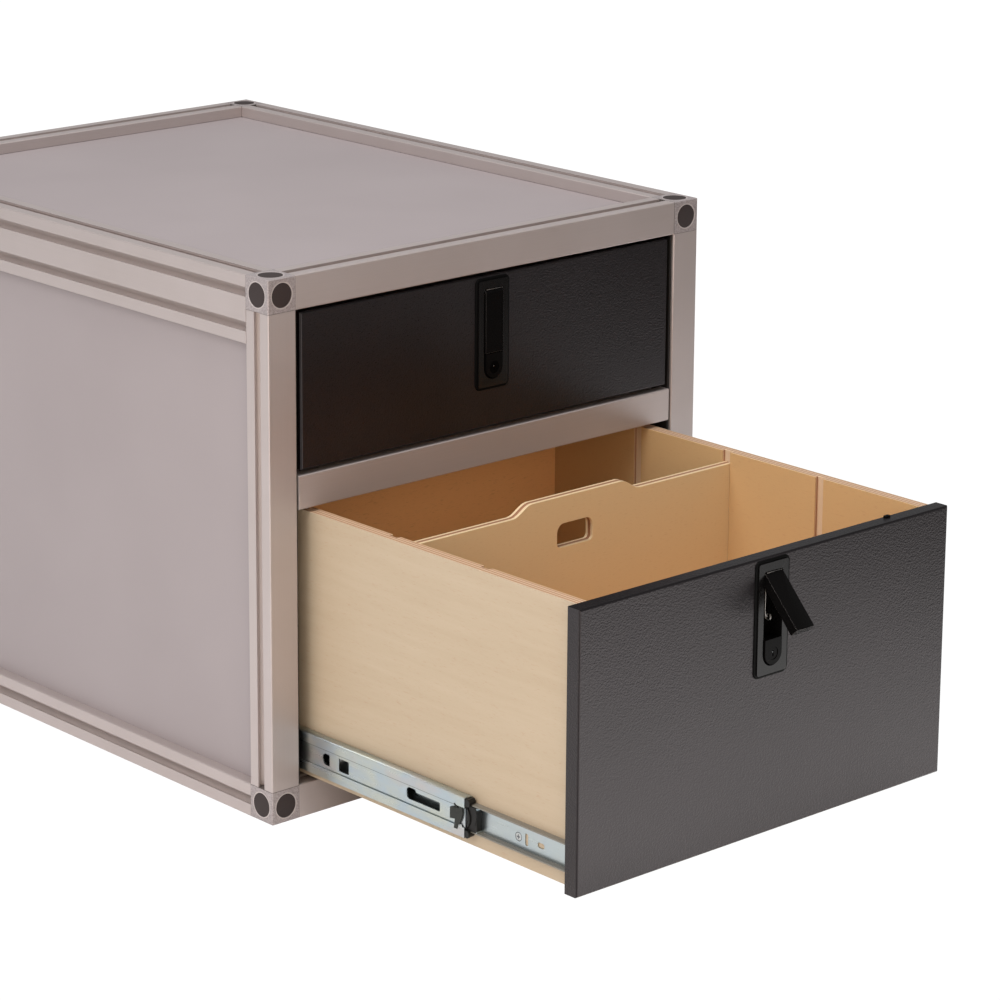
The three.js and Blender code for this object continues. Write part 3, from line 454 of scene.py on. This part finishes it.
drawers = ("lower", "upper")
aluminium = {along: anodisedAluminium(along) for along in "xyz"}
casting = castCube()
panelSkin = coatedPanel()
laminate = {drawer: pebbledLaminate(drawer + "_face") for drawer in drawers}
zinc = {(drawer, member): zincSteel(drawer, member) for drawer in drawers
        for member in ("cabinet", "middle", "drawer")}
latchCoat = {drawer: latchPaint(drawer) for drawer in drawers}
capPlastic = evenSkin("grey_black_moulded_nylon", capLook)    # dull, slightly brown black
leverCoat = evenSkin("black_satin_lever_coat", leverLook)     # deep black that mirrors almost nothing
leverEdgeHighlight = evenSkin("lever_edge_painted_highlight", leverEdgeHighlightLook)             # grey metal on the lever's rounded edges: a painted highlight
rubber = evenSkin("black_rubber", rubberLook)                 # soft black without a gleam
noseNylon = evenSkin("dark_moulded_nylon", noseLook)          # black with a low satin gleam
catchSteel = evenSkin("dark_grey_catch_steel", catchLook)     # dark grey, half metal
plateCoat = evenSkin("near_black_mounting_plate", plateLook)       # matte black plate
lockMetal = evenSkin("dark_nickel_lock", lockLook)            # nearly black metal with small sharp gleams
screwMetal = evenSkin("zinc_screw", screwLook)                # bright silver
# the same dark also makes the ring round each screw head: painted shadow
recess = evenSkin("shaded_screw_recess", recessLook)          # the shade at the bottom of a screw's cross
springWire = evenSkin("dull_spring_wire", springLook)         # dull steel wire
print("materials made")

# widths of the rounded edges in millimetres, and from which angle an edge is rounded
bevels = {"frame": 0.25, "panel": 0.15, "plywood": 0.35, "face": 0.3, "slide": 0.55, "latch": 0.35,
          "lever": 0.4, "lock": 0.15}
rounding = {"angle": math.radians(32), "weld": 0.004 * mm}


def roundEdges(piece, width, segments=2):
    # points that meet are joined, then each edge sharper than the angle gets a round of that width
    weld = piece.modifiers.new("weld", "WELD")
    weld.merge_threshold = rounding["weld"]
    bevel = piece.modifiers.new("bevel", "BEVEL")
    bevel.width = width * mm
    bevel.segments = segments
    bevel.limit_method = "ANGLE"
    bevel.angle_limit = rounding["angle"]
    bevel.use_clamp_overlap = True
    bevel.harden_normals = True


def dress(name, material, width, segments=2):
    # a CAD node keeps its mesh and gets a material and rounded edges
    piece = nodes[name]
    piece.data.materials.clear()
    piece.data.materials.append(material)
    roundEdges(piece, width, segments)


barWays = {"rear": "x", "front": "x", "left": "y", "right": "y"}    # the way a rail runs, by its side
for name in nodes:
    words = name.split("_")
    if words[0] == "post":
        dress(name, aluminium["z"], bevels["frame"])
    elif words[0] == "corner":
        dress(name, casting, bevels["frame"])
    elif "rail" in words:
        dress(name, aluminium[barWays[words[-1]]], bevels["frame"])
    elif words[-1] == "panel":
        dress(name, panelSkin, bevels["panel"])
    elif words[0] == "mounting":
        dress(name, plateCoat, bevels["panel"])
    elif words[-1] == "face":
        dress(name, laminate[words[0]], bevels["face"])
    elif "slide" in words:
        dress(name, zinc[words[0], words[-1]], bevels["slide"], 3)
    elif words[-1] == "plug":
        dress(name, lockMetal, bevels["lock"])
    elif words[-1] == "lever":
        dress(name, leverCoat, bevels["lever"])
        nodes[name].data.materials.append(leverEdgeHighlight)    # the rounded edges take the pale grey: a painted highlight
        nodes[name].modifiers["bevel"].material = 1
    elif "latch" in words:
        dress(name, latchCoat[words[0]], bevels["latch"])

# for each board: the axis through it, the axis its figure runs along, where its inside is, and the tone
# painted on its inside for the light that bounces there
boardWays = {"left_side": ("x", "y", 1, "wallBounceTone"), "right_side": ("x", "y", 0, "wallBounceTone"),
             "front_board": ("y", "x", 1, "inner"), "back_board": ("y", "x", 0, "inner"),
             "bottom": ("z", "y", 1, "inner"), "divider": ("y", "x", 2, "middle")}
for name in nodes:
    for ending, ways in boardWays.items():
        if name.endswith(ending) and name.split("_")[0] in drawers:
            dress(name, birchPlywood("birch_plywood_" + name, name, *ways), bevels["plywood"])
print("frame dressed")

merging = {"points": 1e-7, "edges": 1e-8}    # metres


def makePiece(name, points, faces, material, body, slot, smooth=True, bevel=0.0):
    # points that meet are merged, the faces are turned outwards, and the piece rides on its body
    mesh = bpy.data.meshes.new(name)
    mesh.from_pydata(np.asarray(points, float).tolist(), [], [list(f) for f in faces])
    work = bmesh.new()
    work.from_mesh(mesh)
    bmesh.ops.remove_doubles(work, verts=work.verts, dist=merging["points"])
    bmesh.ops.dissolve_degenerate(work, edges=work.edges, dist=merging["edges"])
    bmesh.ops.recalc_face_normals(work, faces=work.faces)
    work.to_mesh(mesh)
    work.free()
    mesh.polygons.foreach_set("use_smooth", [smooth] * len(mesh.polygons))
    mesh.materials.append(material)
    piece = bpy.data.objects.new(name, mesh)
    bpy.context.scene.collection.objects.link(piece)
    if bevel:
        roundEdges(piece, bevel)
    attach(piece, body)


def gridFaces(rows, columns):
    # quads between neighbouring rows, closed round the columns
    row, column = np.meshgrid(np.arange(rows - 1), np.arange(columns), indexing="ij")
    here = row * columns + column
    beside = row * columns + (column + 1) % columns
    return np.stack([here, beside, beside + columns, here + columns], -1).reshape(-1, 4)


def lathe(profile, steps, centre, axis):
    # a point at radius r and height h turns through the angle t: (r cos t, r sin t, h), then h is laid along
    # the axis
    profile = np.asarray(profile, float)
    turn = np.linspace(0, 2 * math.pi, steps, endpoint=False)
    radius, height = profile[:, :1], profile[:, 1:]
    grid = np.stack([radius * np.cos(turn), radius * np.sin(turn), height + 0 * turn], -1).reshape(-1, 3)
    ahead = np.asarray(axis, float)
    side = np.cross(ahead, (0, 0, 1) if abs(ahead[2]) < 0.9 else (1, 0, 0))
    side /= np.linalg.norm(side)
    up = np.cross(ahead, side)
    return grid @ np.array([side, up, ahead]) + np.asarray(centre), gridFaces(len(profile), steps)


def gather(parts):
    # several meshes as one: the faces of each are counted on from the points before it
    points, faces, start = [], [], 0
    for p, f in parts:
        points.append(p)
        faces.extend((np.asarray(face) + start).tolist() for face in f)
        start += len(p)
    return np.concatenate(points), faces


def extrude(outline, low, high):
    # the outline stands at both heights, with a side between each two neighbours and a lid at either end
    outline = np.asarray(outline, float)
    n = len(outline)
    points = np.concatenate([np.column_stack([outline, np.full(n, level)]) for level in (low, high)])
    return points, gridFaces(2, n).tolist() + [list(range(n)), list(range(n, 2 * n))]


def alongPath(path):
    # the path and its direction at each point: the step from the point before to the one after, made 1 long
    path = np.asarray(path, float)
    ahead = np.gradient(path, axis=0)
    return path, ahead / np.linalg.norm(ahead, axis=1)[:, None]


def strip(path, width):
    # a band's outline: half the width to either side of the path, out along one side and back along the other
    path, ahead = alongPath(path)
    aside = np.column_stack([-ahead[:, 1], ahead[:, 0]]) * width / 2
    return np.concatenate([path + aside, (path - aside)[::-1]])


def tube(path, radius, sides=8):
    # a ring of points round each place of the path: place + radius (cos t side + sin t up)
    path, ahead = alongPath(path)
    side = np.cross(ahead, (0.31, 0.17, 0.93))    # a direction that no path here follows
    side /= np.linalg.norm(side, axis=1)[:, None]
    up = np.cross(ahead, side)
    turn = np.linspace(0, 2 * math.pi, sides, endpoint=False)[:, None]
    rings = path[:, None] + radius * (np.cos(turn) * side[:, None] + np.sin(turn) * up[:, None])
    ends = [list(range(sides)), list(range((len(path) - 1) * sides, len(path) * sides))]
    return rings.reshape(-1, 3), gridFaces(len(path), sides).tolist() + ends


def roundedLoop(halfWide, halfTall, corner, steps=7):
    # a rectangle with a quarter circle at each corner: its middle plus its radius times (cos t, sin t)
    turn = np.linspace(0, 2 * math.pi, 4 * steps, endpoint=False) + math.pi / (4 * steps)
    cos, sin = np.cos(turn), np.sin(turn)
    return np.column_stack([np.sign(cos) * (halfWide - corner) + corner * cos,
                            np.sign(sin) * (halfTall - corner) + corner * sin])


def curve(points, steps=24):
    # a smooth line through a few points: each coordinate is the polynomial with its values at even steps
    points = np.asarray(points, float)
    known = np.linspace(0, 1, len(points))
    t = np.linspace(0, 1, steps)
    return np.column_stack([np.polyval(np.polyfit(known, column, len(points) - 1), t) for column in points.T])


# end caps: flat discs with a soft rim, pressed into the seats of the cubes
endCaps = {"radius": 10.6, "foot": 0.49, "below": 0.06, "rim": 0.5, "drop": 0.3, "steps": 56}


def endCap(centre, axis):
    # the rim is a quarter of an ellipse, rim wide and drop high
    cap = endCaps
    turn = np.linspace(0, math.pi / 2, 5)
    rim = np.stack([cap["radius"] - cap["rim"] + cap["rim"] * np.sin(turn),
                    -cap["below"] - cap["drop"] * (1 - np.cos(turn))], -1)
    foot = [[cap["radius"], -cap["foot"]], [0, -cap["foot"]]]
    profile = np.concatenate([[[0, -cap["below"]]], rim, foot])
    return lathe(profile * mm, cap["steps"], centre, axis)


caps = []
for name in nodes:
    if not name.startswith("corner_"):
        continue
    low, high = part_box(name)
    middle = (low + high) / 2
    outward = [1 if word in name else -1 for word in ("right", "rear", "top")]
    for axis in range(3):
        normal = [0, 0, 0]
        normal[axis] = outward[axis]
        centre = list(middle)
        centre[axis] = high[axis] if outward[axis] > 0 else low[axis]
        caps.append(endCap(centre, normal))
makePiece("cube_end_caps", *gather(caps), capPlastic, "cabinet", "latch")
print("end caps made")

# slide ends in millimetres: nose covers, corner blocks, catches, rivets and screws
# s runs forward from the front of the steel, v up from its middle, and outer and inner are depths from the
# cabinet member's wall
slideEnd = {"gap": 2.5, "length": 12.0}
noseCover = {"start": 0.02, "end": 12.1, "inner": 11.33, "outer": 5.42, "half": 10.83, "corner": 2.2,
             "bevel": 0.25}
noseRib = {"root": 0.6, "bulge": 4.8, "back": 0.1, "backBulge": 2.6, "half": 9.6, "outer": 4.3, "lap": 0.03}
noseHook = {"path": [(9.6, 10.2), (11.4, 7), (11.6, 3), (10.6, -1), (9.4, -4.5)], "width": 1.4, "outer": 4.9}
cornerBlock = {"start": 0.02, "upper": 5.6, "lower": 4.8, "low": 10.4, "high": 17.0, "outer": 2.9,
               "lip": 6.0, "inner": 10.8, "shoulder": 0.7, "slope": 1.6, "drop": 2.2, "lipShort": 0.4,
               "lipLow": 2.5, "lipSlope": 2.0, "lipTop": 0.1}
catch = {"outline": [(-17.5, 5.3), (-12.6, 7.0), (-10.8, 6.2), (-2.3, 8.9), (-2.0, 3.5), (-3.2, -1.0),
                     (-6.0, -7.0), (-8.5, -11.8), (-12.6, -11.9), (-11.3, -3.6), (-17.5, -4.6)],
         "outer": 2.2, "inner": 3.9, "hook": [(-12.5, 9.6), (-10.6, 8.4), (-8.9, 6.8)], "hookWidth": 1.3,
         "hookOuter": 2.0, "bevel": 0.2}
rivet = {"s": -5.2, "v": -8.5, "radius": 2.2, "rise": 0.6, "dimple": 0.9, "floor": 0.35, "step": 0.3,
         "root": 0.3, "steps": 28}
faceScrew = {"back": 61.0, "v": -1.25, "radius": 3.5, "top": 11.32, "seat": 11.5, "cross": 2.0, "arm": 0.25,
             "ring": 0.45, "ringLap": 0.1, "ringRise": 0.05, "crossRise": 0.015, "crossRoot": 0.1,
             "root": 0.3, "steps": 32}
crown = {"width": 4.4, "middle": 7.0, "bulge": 0.9, "half": 17.25, "sink": 0.1, "short": 0.3, "steps": 13}


def onSlide(part, drawer, hand):
    # a part drawn as (s forward, v up, u inward) is laid at the front end of that slide's steel
    low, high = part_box(drawer + "_" + hand + "_slide_middle")
    points, faces = part
    s, v, u = np.asarray(points).T * mm
    gap = slideEnd["gap"] * mm
    across = low.x - gap + u if hand == "left" else high.x + gap - u
    return np.column_stack([across, low.y + slideEnd["length"] * mm - s, (low.z + high.z) / 2 + v]), faces


def noseParts():
    # a rounded plate with a crescent rib and a hook on it, and a block with a lip at either corner
    cover, rib, hook, block = noseCover, noseRib, noseHook, cornerBlock
    length = (cover["end"] - cover["start"]) / 2
    outline = roundedLoop(length, cover["half"], cover["corner"]) + (cover["start"] + length, 0)
    half = rib["half"]
    crescent = np.concatenate([curve([(rib["root"], half), (rib["bulge"], 0), (rib["root"], -half)]),
                               curve([(rib["back"], -half), (rib["backBulge"], 0), (rib["back"], half)])])
    parts = [extrude(outline, cover["outer"], cover["inner"]),
             extrude(crescent, rib["outer"], cover["outer"] + rib["lap"]),
             extrude(strip(curve(hook["path"]), hook["width"]), hook["outer"], cover["outer"] + rib["lap"])]
    start, low, high, slope = block["start"], block["low"], block["high"], block["slope"]
    for side, reach in ((1, block["upper"]), (-1, block["lower"])):
        body = [(start, low), (reach * block["shoulder"], low), (reach, low + slope),
                (reach, high - block["drop"]), (reach - slope, high), (start, high)]
        lipReach, lipLow, lipHigh = reach - block["lipShort"], low + block["lipLow"], high - block["lipTop"]
        lip = [(start, lipLow), (lipReach, lipLow), (lipReach, high - block["drop"]),
               (reach - block["lipSlope"], lipHigh), (start, lipHigh)]
        parts.append(extrude(np.array(body) * (1, side), block["outer"], block["lip"]))
        parts.append(extrude(np.array(lip) * (1, side), block["lip"], block["inner"]))
    return parts


def catchParts():
    # a plate cut to the catch's outline, and the bent spring that holds it
    return [extrude(catch["outline"], catch["outer"], catch["inner"]),
            extrude(strip(curve(catch["hook"]), catch["hookWidth"]), catch["hookOuter"], catch["inner"])]


def rivetPart():
    # a dome whose height falls as the square of the distance from its middle, round a small dimple
    radius, dimple, root = rivet["radius"], rivet["dimple"], rivet["root"]
    r = np.linspace(radius, dimple, 8)
    rise = rivet["rise"] * (1 - (r / radius) ** 2)
    floor = [(0, rise[-1] - rivet["floor"]), (dimple * 0.9, rise[-1] - rivet["step"])]
    profile = floor + np.column_stack([r, rise])[::-1].tolist() + [(radius, -root), (0, -root)]
    return lathe(profile, rivet["steps"], (rivet["s"], rivet["v"], slideEnd["gap"]), (0, 0, -1))


def crownParts(drawer):
    # the rolled flange seen from above and below: a shallow arch over the flat of the flange, whose height
    # falls as the square of the distance from its middle
    low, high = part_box(drawer + "_left_slide_middle")
    length = (high.y - low.y) / mm - slideEnd["length"]
    t = np.linspace(-1, 1, crown["steps"])
    rise = crown["half"] + crown["bulge"] * (1 - t ** 2)
    arch = np.column_stack([crown["middle"] + crown["width"] * t, rise])
    foot = np.column_stack([arch[::-1, 0], np.full(crown["steps"], crown["half"] - crown["sink"])])
    points, faces = extrude(np.concatenate([arch, foot[1:-1]]), -length + crown["short"], -crown["short"])
    return [(np.column_stack([points[:, 2], side * points[:, 1], points[:, 0]]), faces) for side in (1, -1)]


def screwParts(drawer):
    # a low pan head with a cross sunk in it: the head's arch falls as the fourth power of the distance; a
    # thin dark ring round the head is painted shadow
    k = faceScrew
    member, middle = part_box(drawer + "_left_slide_drawer")[0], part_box(drawer + "_left_slide_middle")[0]
    s = slideEnd["length"] - ((member.y - middle.y) / mm + k["back"])
    r = np.linspace(0, k["radius"], 12)
    rise = (k["seat"] - k["top"]) * (1 - (r / k["radius"]) ** 4)
    profile = np.column_stack([r, rise]).tolist() + [(k["radius"], -k["root"]), (0, -k["root"])]
    centre = (s, k["v"], k["seat"])
    head = lathe(profile, k["steps"], centre, (0, 0, -1))
    a = k["arm"]
    arms = [(-1, -a), (-a, -a), (-a, -1), (a, -1), (a, -a), (1, -a), (1, a), (a, a), (a, 1), (-a, 1), (-a, a),
            (-1, a)]
    outline = np.array(arms) * k["cross"] + (s, k["v"])
    cross = extrude(outline, k["top"] - k["crossRise"], k["top"] + k["crossRoot"])
    # a thin dark ring round the head: painted shadow
    inner, outer = k["radius"] - k["ringLap"], k["radius"] + k["ring"]
    low, high = -k["ringLap"], k["ringRise"]
    section = [(inner, low), (inner, high), (outer, high), (outer, low), (inner, low)]
    ring = lathe(section, k["steps"], centre, (0, 0, -1))
    return head, gather([cross, ring])


def onBothSlides(parts, drawer):
    # the same parts at the left and the right slide of a drawer, as one mesh
    return gather([onSlide(part, drawer, hand) for hand in ("left", "right") for part in parts])


for drawer in drawers:
    middles, box = drawer + "_slide_middles", drawer + "_drawer"
    head, cross = screwParts(drawer)
    noses, catches = onBothSlides(noseParts(), drawer), onBothSlides(catchParts(), drawer)
    rivets, crowns = onBothSlides([rivetPart()], drawer), onBothSlides(crownParts(drawer), drawer)
    heads, screwShades = onBothSlides([head], drawer), onBothSlides([cross], drawer)
    makePiece(drawer + "_slide_noses", *noses, noseNylon, middles, "latch", False, noseCover["bevel"])
    makePiece(drawer + "_slide_catches", *catches, catchSteel, middles, "latch", False, catch["bevel"])
    makePiece(drawer + "_slide_rivets", *rivets, screwMetal, middles, "slide")
    makePiece(drawer + "_slide_crowns", *crowns, zinc[drawer, "cabinet"], middles, "slide")
    makePiece(drawer + "_face_screws", *heads, screwMetal, box, "slide")
    makePiece(drawer + "_screw_recess_shades", *screwShades, recess, box, "latch", False)
print("slide ends made")

# latches in millimetres: gasket, coil spring with a rod and a pin, and a wafer in the keyway
# down counts from the top of the housing, and deep from the drawer's face
gasket = {"section": [(-0.1, -0.05), (-0.1, 1.1), (0.5, 1.25), (2.0, 1.2), (2.5, 0.9), (2.7, 0.4),
                      (2.7, -0.05)], "corner": 3.0}
spring = {"radius": 2.6, "wireRadius": 0.275, "turns": 2, "pitch": 0.9, "x": -2.85, "deep": 1.4, "down": 48.0}
rod = {"radius": 0.35, "path": [(-7.8, 22.5), (-7.8, 36), (-7.6, 43.5), (-4.9, 46.2)], "deep": -0.6}
pin = {"radius": 0.14, "half": 9.4, "down": 7.76, "deep": 0.35}    # deep counts from the housing's front here
wafer = {"radius": 0.58, "sink": 0.9, "up": 0.9, "root": 0.3, "steps": 24}


# a black rubber gasket round each rim; its width and dark also stand for the shadow beside the rim: partly
# painted shadow
def gasketPart(drawer):
    # the section runs round the rim: each of its points stands that far outside the rim and off the face
    low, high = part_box(drawer + "_latch_housing")
    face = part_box(drawer + "_face")[0]
    halfWide, halfTall = (high.x - low.x) / 2 / mm, (high.z - low.z) / 2 / mm
    loops = []
    for out, rise in gasket["section"] + gasket["section"][:1]:
        loop = roundedLoop(halfWide + out, halfTall + out, gasket["corner"] + out)
        loops.append(np.column_stack([loop[:, 0], np.full(len(loop), -rise), loop[:, 1]]))
    points = np.concatenate(loops) * mm + ((low.x + high.x) / 2, face.y, (low.z + high.z) / 2)
    return points, gridFaces(len(loops), len(loops[0]))


def springPart(drawer):
    # the coil at the angle t is at (x + pitch t/2pi, radius sin t, radius cos t); the rod stands in the
    # pocket's corner, and the pin lies in the gap over the lever; the pale wire of both also stands for lit
    # edges of the pocket there: painted highlights
    low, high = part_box(drawer + "_latch_housing")
    top, front, face = high.z / mm, low.y / mm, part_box(drawer + "_face")[0].y / mm
    t = np.linspace(0, 2 * math.pi * spring["turns"], 24 * spring["turns"] + 1)
    coil = np.column_stack([spring["x"] + t / (2 * math.pi) * spring["pitch"],
                            face + spring["deep"] + spring["radius"] * np.sin(t),
                            top - spring["down"] + spring["radius"] * np.cos(t)])
    stem = [(x, face + rod["deep"], top - down) for x, down in rod["path"]]
    across = [(x, front + pin["deep"], top - pin["down"]) for x in (-pin["half"], pin["half"])]
    parts = [tube(coil, spring["wireRadius"]), tube(curve(stem, 12), rod["radius"]),
             tube(across, pin["radius"])]
    return gather([(points * mm, faces) for points, faces in parts])


def waferPart(drawer):
    # the polished end of a wafer in the keyway: half a ball
    low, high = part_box(drawer + "_lock_plug")
    radius, root = wafer["radius"], wafer["root"]
    t = np.linspace(0, math.pi / 2, 9)
    profile = np.stack([radius * np.sin(t), radius * np.cos(t)], -1).tolist() + [(radius, -root), (0, -root)]
    centre = ((low.x + high.x) / 2, low.y + wafer["sink"] * mm, (low.z + high.z) / 2 + wafer["up"] * mm)
    return lathe(np.array(profile) * mm, wafer["steps"], centre, (0, -1, 0))


for drawer in drawers:
    makePiece(drawer + "_latch_gasket_and_shadow", *gasketPart(drawer), rubber, drawer + "_drawer", "latch")
    makePiece(drawer + "_latch_spring", *springPart(drawer), springWire, drawer + "_drawer", "lock")
    makePiece(drawer + "_lock_wafer", *waferPart(drawer), screwMetal, drawer + "_lock", "lock")
print("latch parts made")

# rubber bumper on the rear edge of the lower face's top, in millimetres
bumper = {"x": 151.5, "halfWide": 3.3, "halfDeep": 2.0, "root": 0.3, "rise": 1.8, "corner": 1.6, "back": 2.4,
          "bevel": 0.8}
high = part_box("lower_face")[1]
loop = roundedLoop(bumper["halfWide"], bumper["halfDeep"], bumper["corner"])
points, faces = extrude(loop, -bumper["root"], bumper["rise"])
points = points * mm + (bumper["x"] * mm, high.y - bumper["back"] * mm, high.z)
makePiece("lower_face_bumper", points, faces, rubber, "lower_drawer", "latch", False, bumper["bevel"])
print("bumper made")

# focal length, middle and width of the image in pixels, angles in radians, and place in millimetres
camera = {"focal": 3675.863, "centre": (360, 340), "yaw": 0.7021, "pitch": 0.247, "roll": -0.0029,
          "place": (-1855.755, -2312.092, 1178.393), "image": 1000, "sensor": 36, "clip": (0.05, 60)}


def addToScene(name, data):
    # a new object that the scene's collection holds
    thing = bpy.data.objects.new(name, data)
    bpy.context.scene.collection.objects.link(thing)
    return thing


def facing(right, up, back, place):
    # the matrix whose columns are an object's own right, up and back, and its place
    return Matrix([[right[i], up[i], back[i], place[i]] for i in range(3)] + [[0, 0, 0, 1]])


def makeCamera():
    # the view ray, its right and its up are turned by yaw, pitch and roll, and the place counts from the left
    # front foot
    c = camera
    yaw, pitch, roll = c["yaw"], c["pitch"], c["roll"]
    ahead = np.array([math.cos(pitch) * math.sin(yaw), math.cos(pitch) * math.cos(yaw), -math.sin(pitch)])
    right = np.array([math.cos(yaw), -math.sin(yaw), 0])
    up = np.cross(right, ahead)
    right, up = (math.cos(roll) * right + math.sin(roll) * up, math.cos(roll) * up - math.sin(roll) * right)
    data = bpy.data.cameras.new("camera")
    data.sensor_width = c["sensor"]
    data.lens = c["focal"] / c["image"] * data.sensor_width
    data.shift_x = 0.5 - c["centre"][0] / c["image"]
    data.shift_y = c["centre"][1] / c["image"] - 0.5
    data.clip_start, data.clip_end = c["clip"]
    eye = addToScene("camera", data)
    eye.matrix_world = facing(right, up, -ahead, np.array(c["place"]) * mm + (outerLeft, frontPlane, 0))
    bpy.context.scene.camera = eye


# two large white lights, from the left and from above, and a smaller warm one in front, in metres and watts
lights = {"key_light": {"place": (-3.0, -0.4, 2.4), "target": (0, 0.1, 0.2), "size": (2.4, 2.4), "power": 72,
                        "color": "#FFFFFF"},
          "top_light": {"place": (-0.4, -0.3, 3.2), "target": (0, 0.0, 0.2), "size": (2.4, 2.4), "power": 70,
                        "color": "#FFFFFF"},
          "front_light": {"place": (-1.5, -2.0, 0.8), "target": (0, -0.2, 0.2), "size": (1.4, 1.2),
                          "power": 13.5, "color": "#FFE6CC"}}


def softbox(name, look):
    # its back points from the target to its place, and its side stays level
    data = bpy.data.lights.new(name, "AREA")
    data.shape = "RECTANGLE"
    data.size, data.size_y = look["size"]
    data.energy = look["power"]
    data.color = linear(look["color"])[:3]
    away = np.array(look["place"], float) - np.array(look["target"], float)
    away /= np.linalg.norm(away)
    side = np.cross((0, 0, 1), away)
    side /= np.linalg.norm(side)
    addToScene(name, data).matrix_world = facing(side, np.cross(away, side), away, look["place"])


# reach is how far a point of the floor lies towards the front right: the paper darkens to edge from near to
# far, painted shade for the room's light falling off there, and gleam is how many times brighter it mirrors
# at each reach, a painted gain
studio = {"fill": 0.35, "backdrop": 1.05, "floor": 1.05, "white": "#FFFFFF", "paper": "#F2F2F2",
          "edge": "#37302D", "near": 1.1, "far": 1.65, "half": 30.0, "low": -0.001,
          "frontRight": (0.707, -0.707, 0), "gleam": {0.08: 1.0, 0.35: 2.3, 0.9: 1.87, 1.1: 1.36, 1.35: 1.42}}


def makeWorld():
    # the camera sees plain white, while the room's fill light is softer
    world = bpy.data.worlds.new("studio")
    bpy.context.scene.world = world
    world.use_nodes = True
    tree = world.node_tree
    tree.nodes.clear()
    seen = addNode(tree, "ShaderNodeLightPath").outputs["Is Camera Ray"]
    white = studio["white"]
    fill = addNode(tree, "ShaderNodeBackground", {"Color": white, "Strength": studio["fill"]})
    plain = addNode(tree, "ShaderNodeBackground", {"Color": white, "Strength": studio["backdrop"]})
    mix = addNode(tree, "ShaderNodeMixShader", {0: seen, 1: fill, 2: plain})
    addNode(tree, "ShaderNodeOutputWorld", {"Surface": mix})


def whiteSweep():
    # the camera sees it lit to full white; it lights and mirrors in the object as paper does, with painted
    # shade towards the front right and, in what it mirrors, the painted gain 1 + the sum of the steps between
    # the gleam's stops, each growing evenly from one stop to the next
    material = bpy.data.materials.new("white_sweep")
    material.use_nodes = True
    tree = material.node_tree
    tree.nodes.clear()
    rays = addNode(tree, "ShaderNodeLightPath").outputs
    where = addNode(tree, "ShaderNodeTexCoord").outputs["Object"]
    reach = addNode(tree, "ShaderNodeVectorMath", {0: where, 1: studio["frontRight"]},
                    operation="DOT_PRODUCT").outputs["Value"]
    # the paper darkens towards the front right: painted shade
    shade = tinted(tree, between(tree, reach, 0, 1, studio["near"], studio["far"]), studio["paper"],
                   studio["edge"])
    gleam = studio["gleam"]
    stops = sorted(gleam)
    steps = [between(tree, reach, 0, gleam[end] - gleam[start], start, end)
             for start, end in zip(stops, stops[1:])]
    extra = steps[0]
    for step in steps[1:]:
        extra = addNode(tree, "ShaderNodeMath", {0: extra, 1: step}, operation="ADD")
    gain = addNode(tree, "ShaderNodeMath", {0: extra, 1: rays["Is Glossy Ray"], 2: 1.0},
                   operation="MULTIPLY_ADD")
    shade = addNode(tree, "ShaderNodeVectorMath", {0: shade, "Scale": gain},
                    operation="SCALE").outputs["Vector"]
    paper = addNode(tree, "ShaderNodeBsdfDiffuse", {"Color": shade})
    glow = addNode(tree, "ShaderNodeEmission", {"Color": studio["white"], "Strength": studio["floor"]})
    mix = addNode(tree, "ShaderNodeMixShader", {0: rays["Is Camera Ray"], 1: paper, 2: glow})
    addNode(tree, "ShaderNodeOutputMaterial", {"Surface": mix})
    return material


def makeFloor():
    # one wide square just under the object's feet
    corners = [(x * studio["half"], y * studio["half"], studio["low"])
               for x, y in ((-1, -1), (1, -1), (1, 1), (-1, 1))]
    mesh = bpy.data.meshes.new("floor")
    mesh.from_pydata(corners, [], [(0, 1, 2, 3)])
    mesh.materials.append(whiteSweep())
    addToScene("floor", mesh)


makeCamera()
makeWorld()
makeFloor()
for name, look in lights.items():
    softbox(name, look)
bpy.context.scene.view_settings.view_transform = "Standard"
bpy.context.scene.view_settings.look = "None"
print("studio made")
